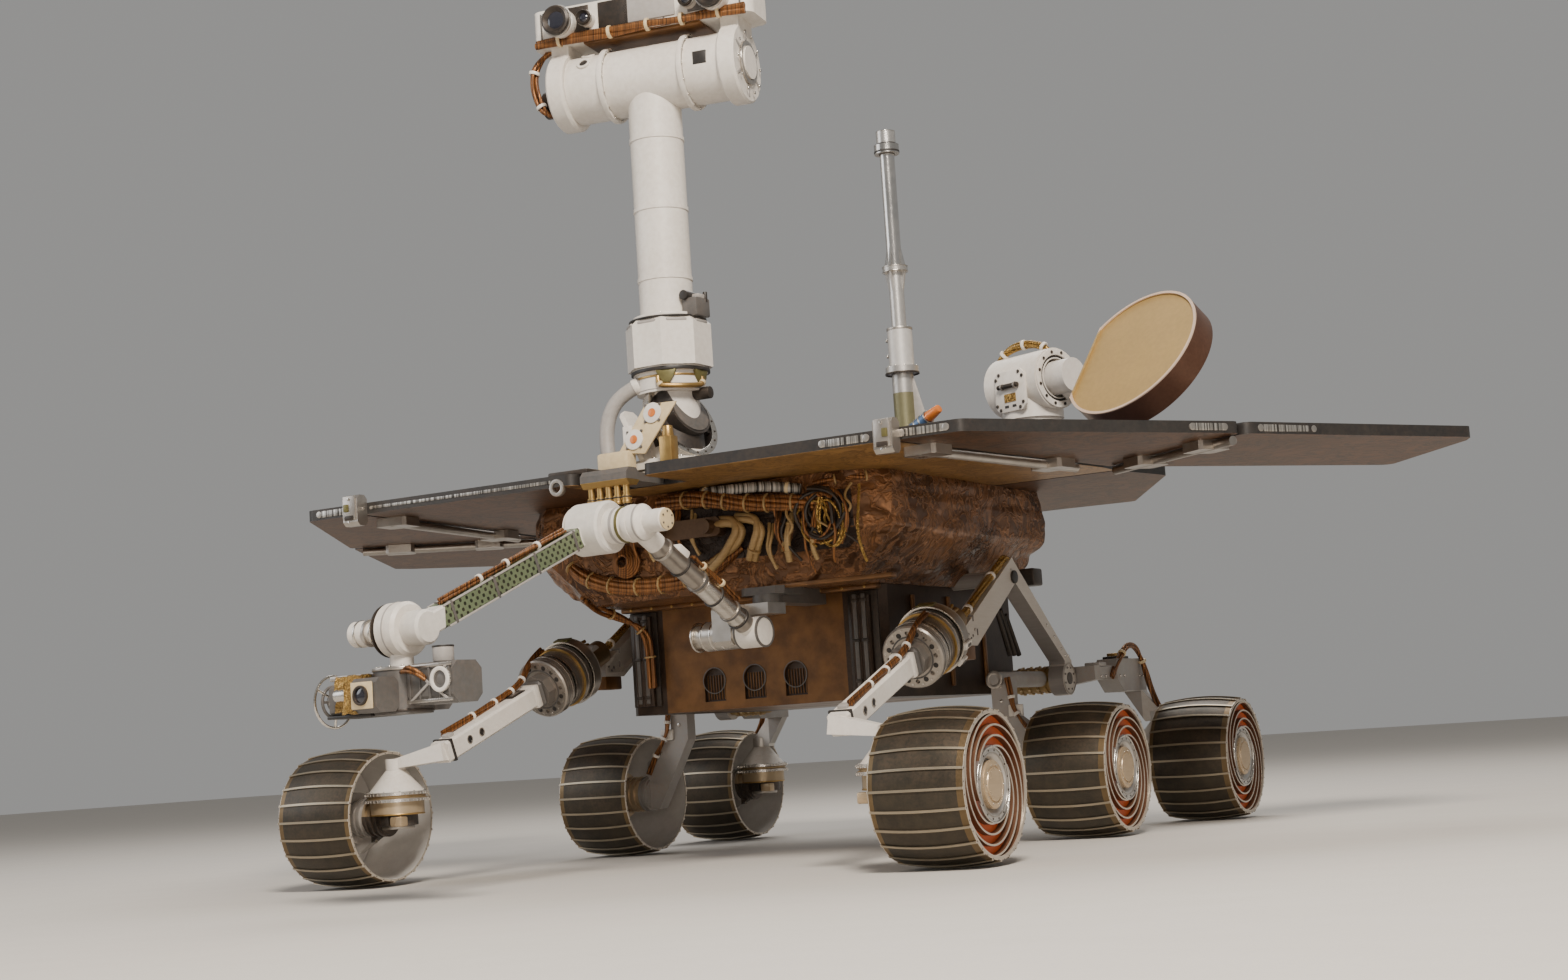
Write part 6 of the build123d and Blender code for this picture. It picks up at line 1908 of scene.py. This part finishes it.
@dataclass
class Body:
    """The box's frames and posts, its foil blanket and its cable harness."""

    half_width: float = 0.28
    front: float = -0.31
    shelf: float = 0.485

    def build(self) -> None:
        """Dresses the lower box, then wraps the upper one."""
        self._front()
        self._blanket()
        self._harness()

    def _front(self) -> None:
        """The engraved front's frames, the side posts' caps and the shelf's edge."""
        piece = Piece("body_front_trim", "rover", "thermal_panel")
        wall = turn_about(at(0.0, self.front, 0.0), 90.0, "X")
        for x in (-0.088, 0.0, 0.088):
            for rib in range(-3, 4):
                piece.block(
                    Coat.BRONZE, (x + rib * 0.006, 0.322, -0.0068), (0.0018, 0.046, 0.0026), wall, 0.0004
                )
            hoop = moved(wall, x, 0.335, 0.0002)
            piece.lathe(Coat.SLATE, hoop, ((0.0232, 0), (0.025, 0), (0.025, 0.0014), (0.0232, 0.0014)))
        for x in (-0.238, 0.238):
            piece.block(Coat.DARK, (x, 0.385, 0.001), (0.062, 0.18, 0.006), wall, 0.002)
        for sign in (-1.0, 1.0):
            for x in (0.228, 0.246):
                piece.block(Coat.SLATE, (sign * x, 0.385, 0.0155), (0.008, 0.168, 0.003), wall, 0.001)
                for z in (0.312, 0.385, 0.458):
                    piece.block(Coat.DARK, (sign * x, z, 0.017), (0.014, 0.006, 0.003), wall, 0.001)
        piece.block(Coat.BRONZE, (0.0, self.shelf - 0.004, 0.01), (0.556, 0.01, 0.02), wall, 0.003)
        for index in range(12):
            screw = moved(wall, -0.253 + index * 0.046, self.shelf - 0.004, 0.02)
            piece.disc(Coat.BRASS, screw, 0.003, 0.0016, sides=10)
        for sign in (-1.0, 1.0):
            for y in (-0.2, -0.05, 0.1):
                piece.block(
                    Coat.BRONZE, at(sign * (self.half_width + 0.003), y, 0.382), (0.006, 0.012, 0.17),
                    Matrix(), 0.002,
                )
        piece.done()

    def _blanket(self) -> None:
        """The crinkled foil round the upper box, as one loose skin."""
        rings = (
            (0.487, 0.288, -0.482, 0.254, 0.06), (0.51, 0.312, -0.487, 0.258, 0.06),
            (0.545, 0.346, -0.497, 0.261, 0.061),
            (0.576, 0.374, -0.503, 0.265, 0.062), (0.625, 0.377, -0.505, 0.267, 0.062),
            (0.6725, 0.374, -0.502, 0.264, 0.061),
        )
        foot, top = rings[0][0], rings[-1][0]
        shape = bmesh.new()
        loops = []
        for z, half, front, rear, cut in rings:
            corners = (
                (-half + cut, front), (half - cut, front), (half, front + cut), (half, rear - cut),
                (half - cut, rear), (-half + cut, rear), (-half, rear - cut), (-half, front + cut),
            )
            verts = [shape.verts.new(at(x, y, z)) for x, y in corners]
            loops.append([shape.edges.new((a, b)) for a, b in zip(verts, verts[1:] + verts[:1])])
        for low, high in zip(loops, loops[1:]):
            bmesh.ops.bridge_loops(shape, edges=low + high)
        bmesh.ops.subdivide_edges(shape, edges=shape.edges[:], cuts=15, use_grid_fill=True)
        bmesh.ops.recalc_face_normals(shape, faces=shape.faces[:])
        shape.normal_update()
        for vert in shape.verts:
            spot = vert.co
            swell = noise.turbulence(spot * 4.0, 4, False) * 0.008
            crease = abs(noise.noise(spot * 10.0)) * 0.015 + abs(noise.noise(spot * 36.0)) * 0.006
            edge = min(1.0, max(0.0, (spot.z - foot) / 0.02), max(0.0, (top - spot.z) / 0.012))
            vert.co = spot + vert.normal * min(swell + crease - 0.003, 0.015) * (0.25 + 0.75 * edge)
        piece = Piece("upper_blanket", "rover", "thermal_blanket")
        piece.take(shape, Coat.BLANKET, Matrix())
        piece.done()

    def _harness(self) -> None:
        """The cables under the deck and beside the arm, then their straps."""
        for name, points, radius, strands, spread, ties, coat, twist in HARNESS_RUNS:
            Bundle(
                name, "rover", route(points), radius, strands, spread, coat, ties, Coat.STRAP, twist=twist,
                tie_width=0.0035,
            ).make()
        self._loops()
        self._strands()
        self._stubs()
        hose = (
            (0.034, -0.508, 0.664), (0.076, -0.526, 0.6615), (0.133, -0.53, 0.66), (0.188, -0.526, 0.658),
            (0.236, -0.508, 0.648),
        )
        Bundle("striped_hose", "rover", route(hose), 0.0095, coat=Coat.WEAVE, ties=(0.05, 0.92)).make()
        self._straps()

    @staticmethod
    def _loops() -> None:
        """Open loops of cable in front of the blanket."""
        for index in range(9):
            lean = math.radians(index * 41.0)
            wide, tall = 0.03 + 0.006 * (index % 3), 0.042 + 0.008 * (index % 2)
            centre = Vector((0.268 + 0.011 * (index % 4), -0.512, 0.585 + 0.008 * (index % 3)))
            ring = []
            for step in range(6):
                turn = lean + step * 0.95
                depth = -0.012 - 0.006 * math.sin(2.0 * turn + index)
                ring.append(at(*(centre + Vector((wide * math.cos(turn), depth, tall * math.sin(turn))))))
            coat = (Coat.GOLD, Coat.COPPER, Coat.DARK)[index % 3]
            radius = 0.0022 + 0.0005 * (index % 3)
            Bundle(f"loop_{index}", "rover", tuple(ring), radius, 1 + index % 2, 0.0026, coat).make()

    @staticmethod
    def _strands() -> None:
        """Thin strands that hang from the deck, held off the blanket's corner."""
        for index in range(12):
            x, z = 0.19 + 0.0145 * index, 0.648 - 0.004 * (index % 5)
            fall, lean = 0.05 + 0.011 * (index * 5 % 7), 0.03 * math.sin(index * 2.3)
            drop = (
                (x, SKIN_Y, z), (x + lean * 0.5, -0.524, z - fall * 0.35),
                (x - lean * 0.4, -0.527, z - fall * 0.7), (x + lean * 0.7, -0.522, z - fall),
                (x + lean, SKIN_Y, z - fall * 1.15),
            )
            coat = (Coat.COPPER, Coat.DARK, Coat.STRAP, Coat.GOLD)[index % 4]
            points = tuple(
                at(px, max(py, SKIN_Y - (0.378 - px) * 0.5) if px > 0.31 else py, pz) for px, py, pz in drop
            )
            Bundle(f"strand_{index}", "rover", points, 0.002 + 0.0004 * (index % 3), 1, 0.0, coat).make()

    @staticmethod
    def _stubs() -> None:
        """Short ends of cable that turn back into the blanket."""
        stubs = (
            (-0.02, 0.61), (0.012, 0.6), (-0.05, 0.604), (-0.085, 0.598), (-0.115, 0.6), (0.17, 0.56),
            (0.188, 0.59),
        )
        for index, (x, z) in enumerate(stubs):
            drop = (
                (x, SKIN_Y, z + 0.034), (x + 0.006, -0.519, z + 0.016), (x - 0.004, -0.521, z - 0.018),
                (x + 0.008, -0.508, z - 0.046),
            )
            coat = (Coat.COPPER, Coat.STRAP)[index % 2]
            Bundle(f"stub_{index}", "rover", route(drop), 0.003, 2, 0.0036, coat).make()

    @staticmethod
    def _straps() -> None:
        """The flat coil and the strip under the blanket."""
        straps = Piece("body_straps", "rover", "thermal_panel")
        for turn in range(6):
            place = turn_about(at(-0.136, -0.512, 0.556), 90.0, "X")
            straps.coil(Coat.COPPER, moved(place, z=turn * 0.0028), 0.028 - turn * 0.0032, 0.003, 8)
        straps.block(Coat.BRONZE, at(0.275, -0.486, 0.484), (0.24, 0.022, 0.008))
        straps.done()


@dataclass
class RobotArm:
    """The folding arm's rings, motors, bolts and wires."""

    shoulder: tuple = ARM_SHOULDER
    elbow: tuple = ARM_ELBOW
    wrist: tuple = ARM_WRIST
    offset: float = -0.094

    def build(self) -> None:
        """Dresses the arm from its shoulder to its wrist."""
        self._shoulder()
        self._upper()
        self._forearm()
        self._wrist()

    @staticmethod
    def _here(x: float, y: float, z: float) -> Vector:
        """A place in the arm's own frame."""
        return ARM_FRAME @ Vector((x, y, z))

    def _ring(
        self, piece: Piece, coat: Coat, y: float, z: float, x: float, outer: float, inner: float,
        depth: float
    ) -> None:
        """A ring round one of the arm's level axes."""
        piece.ring(coat, aim(self._here(x, y, z), self._here(x + 1.0, y, z)), outer, inner, depth, 0.0005)

    def _shoulder(self) -> None:
        """The yaw cylinder's rings and clamps."""
        piece = Piece("shoulder_trim", "arm_turn", "bare_alloy")
        y, z = self.shoulder
        for x, outer in ((-0.121, 0.0268), (-0.1, 0.0266), (-0.08, 0.0266), (-0.06, 0.0266)):
            self._ring(piece, Coat.STEEL, y, z, x, outer, 0.02, 0.004)
        for x in (-0.0255, 0.0215):
            self._ring(piece, Coat.SLATE, y, z, x, 0.0276, 0.024, 0.004)
        piece.done()

    def _upper(self) -> None:
        """The upper arm's seam rings, its white cube and its window, and the elbow."""
        piece = Piece("upper_arm_trim", "arm_upper", "white_paint")
        start, end = self._here(0, *self.shoulder), self._here(0, *self.elbow)
        run = run_frame(start, end)
        length = (end - start).length
        for share, width, coat in (
            (0.13, 0.004, Coat.BLACK), (0.2, 0.005, Coat.SLATE), (0.34, 0.003, Coat.BLACK),
            (0.48, 0.005, Coat.SLATE),
            (0.62, 0.003, Coat.BLACK), (0.76, 0.006, Coat.ALLOY),
        ):
            piece.ring(coat, moved(run, z=share * length), 0.0206, 0.017, width, 0.0004)
        piece.lathe(
            Coat.STEEL, moved(run, z=0.14 * length),
            ((0.0172, 0), (0.0186, 0), (0.0186, 0.32 * length), (0.0172, 0.32 * length)), steps=40,
        )
        piece.block(Coat.WHITE, (0, 0.018, 0.66 * length), (0.026, 0.018, 0.03), run, 0.003)
        piece.block(Coat.ORANGE, (0, 0.0275, 0.66 * length), (0.014, 0.004, 0.016), run, 0.0016)
        y, z = self.elbow
        for x, outer, depth, coat in (
            (-0.0455, 0.03, 0.003, Coat.STEEL), (-0.03, 0.0308, 0.006, Coat.GREY),
            (-0.018, 0.0306, 0.005, Coat.OLIVE),
            (-0.004, 0.0312, 0.01, Coat.WHITE), (0.018, 0.0306, 0.004, Coat.GREY),
        ):
            self._ring(piece, coat, y, z, x, outer, 0.024, depth)
        cap = aim(self._here(0.068, y, z), self._here(1.0, y, z))
        piece.disc(Coat.CREAM, cap, 0.018, 0.003)
        piece.bolt_circle(Coat.SLATE, moved(cap, z=0.003), 0.013, 6, 0.0018, 0.0012)
        piece.bolt_circle(
            Coat.STEEL, aim(self._here(0.0242, y, z), self._here(1.0, y, z)), 0.025, 10, 0.002, 0.0016
        )
        piece.done()
        line = ((0.01, 0.022, 0.2), (0.012, 0.024, 0.36), (0.012, 0.023, 0.52), (0.014, 0.022, 0.6))
        Bundle(
            "upper_arm_wire", "arm_upper",
            tuple(run @ Vector((x, y, share * length)) for x, y, share in line), 0.0028, 2, 0.003,
            ties=(0.3, 0.7),
        ).make()

    def _forearm(self) -> None:
        """The square forearm's light edges, its cable and the hub's faces."""
        piece = Piece("forearm_trim", "arm_fore", "coated_tube")
        start, end = self._here(self.offset, *self.elbow), self._here(self.offset, *self.wrist)
        run = run_frame(start, end)
        length = (end - start).length
        for x in (-0.0165, 0.0165):
            for y in (-0.0165, 0.0165):
                piece.block(
                    Coat.GREY, (x, y, length / 2 + 0.006), (0.0032, 0.0032, length - 0.1), run, 0.0008
                )
        for share in (0.14, 0.38, 0.62, 0.86):
            piece.block(Coat.SLATE, (0, 0, share * length), (0.0368, 0.0368, 0.006), run, 0.0012)
        y, z = self.elbow
        face = aim(self._here(-0.118, y, z), self._here(-9.0, y, z))
        piece.ring(Coat.WHITE, face, 0.04, 0.03, 0.0016)
        piece.bolt_circle(Coat.STEEL, moved(face, z=0.0012), 0.035, 12, 0.0022, 0.0016)
        piece.done()
        line = (
            (0.006, 0.022, 0.07), (0.006, 0.023, 0.18), (0.006, 0.023, 0.3), (0.006, 0.022, length - 0.05)
        )
        Bundle(
            "forearm_wire", "arm_fore", route(line, run), 0.0028, 3, 0.0034, ties=(0.2, 0.45, 0.7),
            tie_coat=Coat.WHITE,
        ).make()

    def _wrist(self) -> None:
        """The wrist hub's bolt ring and its stepped motor."""
        piece = Piece("wrist_trim", "arm_wrist", "white_paint")
        y, z = self.wrist
        for x, outer, depth, coat in (
            (-0.1595, 0.041, 0.002, Coat.DARK), (-0.17, 0.0216, 0.005, Coat.STEEL),
            (-0.185, 0.0212, 0.004, Coat.STEEL),
            (-0.2, 0.0216, 0.006, Coat.ALLOY), (-0.218, 0.0212, 0.004, Coat.STEEL),
            (-0.136, 0.0428, 0.003, Coat.GREY),
        ):
            self._ring(piece, coat, y, z, x, outer, 0.019, depth)
        face = aim(self._here(-0.1583, y, z), self._here(-9.0, y, z))
        piece.bolt_circle(Coat.STEEL, face, 0.034, 12, 0.0026, 0.0034)
        piece.done()


@dataclass
class Turret:
    """The instruments at the end of the arm."""

    box_x: float = 0.086
    box_z: float = -0.086
    box_face: float = -0.0325

    def build(self) -> None:
        """Dresses each instrument."""
        piece = Piece("turret_trim", "arm_turret", "grey_paint")
        here = TURRET_FRAME
        piece.ring(Coat.ALLOY, moved(here, z=-0.062), 0.046, 0.04, 0.005)
        piece.ring(Coat.DARK, moved(here, z=-0.125), 0.0458, 0.04, 0.004)
        piece.bolt_circle(Coat.STEEL, moved(here, z=-0.0563), 0.038, 12, 0.0024, 0.0016)
        for offset in (-0.04, -0.02, 0.0, 0.02, 0.04):
            piece.block(
                Coat.SLATE, (self.box_x + offset, self.box_face, self.box_z), (0.004, 0.003, 0.06), here,
                0.001
            )
        for rise in (-0.026, 0.026):
            piece.block(
                Coat.ALLOY, (self.box_x, self.box_face - 0.0005, self.box_z + rise), (0.092, 0.004, 0.005),
                here, 0.001
            )
        middle = moved(here, self.box_x, self.box_face - 0.001, self.box_z)
        for lean in (-34.0, 34.0):
            piece.block(Coat.GREY, (0, 0, 0), (0.1, 0.003, 0.004), middle @ rolled(lean, "Y"), 0.001)
        piece.crumple(Coat.GOLD, (-0.062, -0.042, -0.092), (0.064, 0.026, 0.058), here, 0.007)
        piece.crumple(Coat.GOLD, (-0.034, -0.06, -0.1), (0.03, 0.044, 0.05), here, 0.006)
        piece.crumple(Coat.GOLD, (-0.074, 0.034, -0.094), (0.08, 0.014, 0.05), here, 0.005)
        piece.rod(
            Coat.STEEL, here @ Vector((-0.084, -0.056, -0.094)), here @ Vector((-0.05, -0.056, -0.094)), 0.01
        )
        piece.blocks(here, (
            (Coat.ALLOY, (-0.092, 0.0, -0.066), (0.08, 0.05, 0.008), 0.002),
            (Coat.BLACK, (-0.084, 0.0, -0.1255), (0.094, 0.068, 0.005), 0.0012),
            (Coat.CREAM, (0, -0.087, -0.098), (0.044, 0.003, 0.04), 0.0012),
        ))
        lens = moved(here, 0, -0.0885, -0.098) @ rolled(90.0, "X")
        piece.ring(Coat.DARK, lens, 0.015, 0.011, 0.004)
        piece.disc(Coat.GLASS, lens, 0.0112, 0.0016)
        left = here @ Matrix.Translation((-0.15, 0, -0.1)) @ rolled(90.0, "Y")
        piece.coil(Coat.STEEL, left, 0.04, 0.0022, 8)
        piece.coil(Coat.STEEL, moved(left, z=0.006), 0.015, 0.0016, 8)
        piece.rod(Coat.ALLOY, left.translation, left @ Vector((0, 0, 0.024)), 0.012)
        for turn in (0.0, 120.0, 240.0):
            spoke = left @ rolled(turn)
            piece.rod(
                Coat.STEEL, spoke @ Vector((0.0, 0, 0.008)), spoke @ Vector((0.04, 0, 0)), 0.002,
                bevel=0.0004, sides=12
            )
        ring = moved(here, 0.112, -0.0335, -0.082) @ rolled(90.0, "X")
        piece.ring(Coat.WHITE, ring, 0.019, 0.013, 0.006)
        piece.disc(Coat.SLATE, ring, 0.0132, 0.003)
        piece.rod(Coat.GREY, here @ Vector((0.086, 0, -0.054)), here @ Vector((0.086, 0, -0.032)), 0.016)
        piece.ring(Coat.BLACK, moved(here, 0.086, 0, -0.033), 0.0166, 0.012, 0.003)
        piece.done()
        wire = (
            (0.03, -0.03, -0.064), (0.05, -0.044, -0.062), (0.072, -0.044, -0.068), (0.08, -0.034, -0.08)
        )
        Bundle("turret_wire", "arm_turret", route(wire, TURRET_FRAME), 0.003, 2, 0.0034).make()


def main() -> None:
    """Builds the studio and every piece of the rover, in order."""
    logging.basicConfig(level=logging.INFO, format="%(message)s")
    effects = Effects()
    Studio().build(effects)
    Dressing().build(effects)
    for assembly in (
        RunningGear(), DriveDrums(), Suspension(), Mast(), MastHead(), LowGainMast(), Dish(), Deck(), Body(),
        RobotArm(), Turret(),
    ):
        log.info("building the %s", type(assembly).__name__)
        assembly.build()


if __name__ == "__main__":
    main()
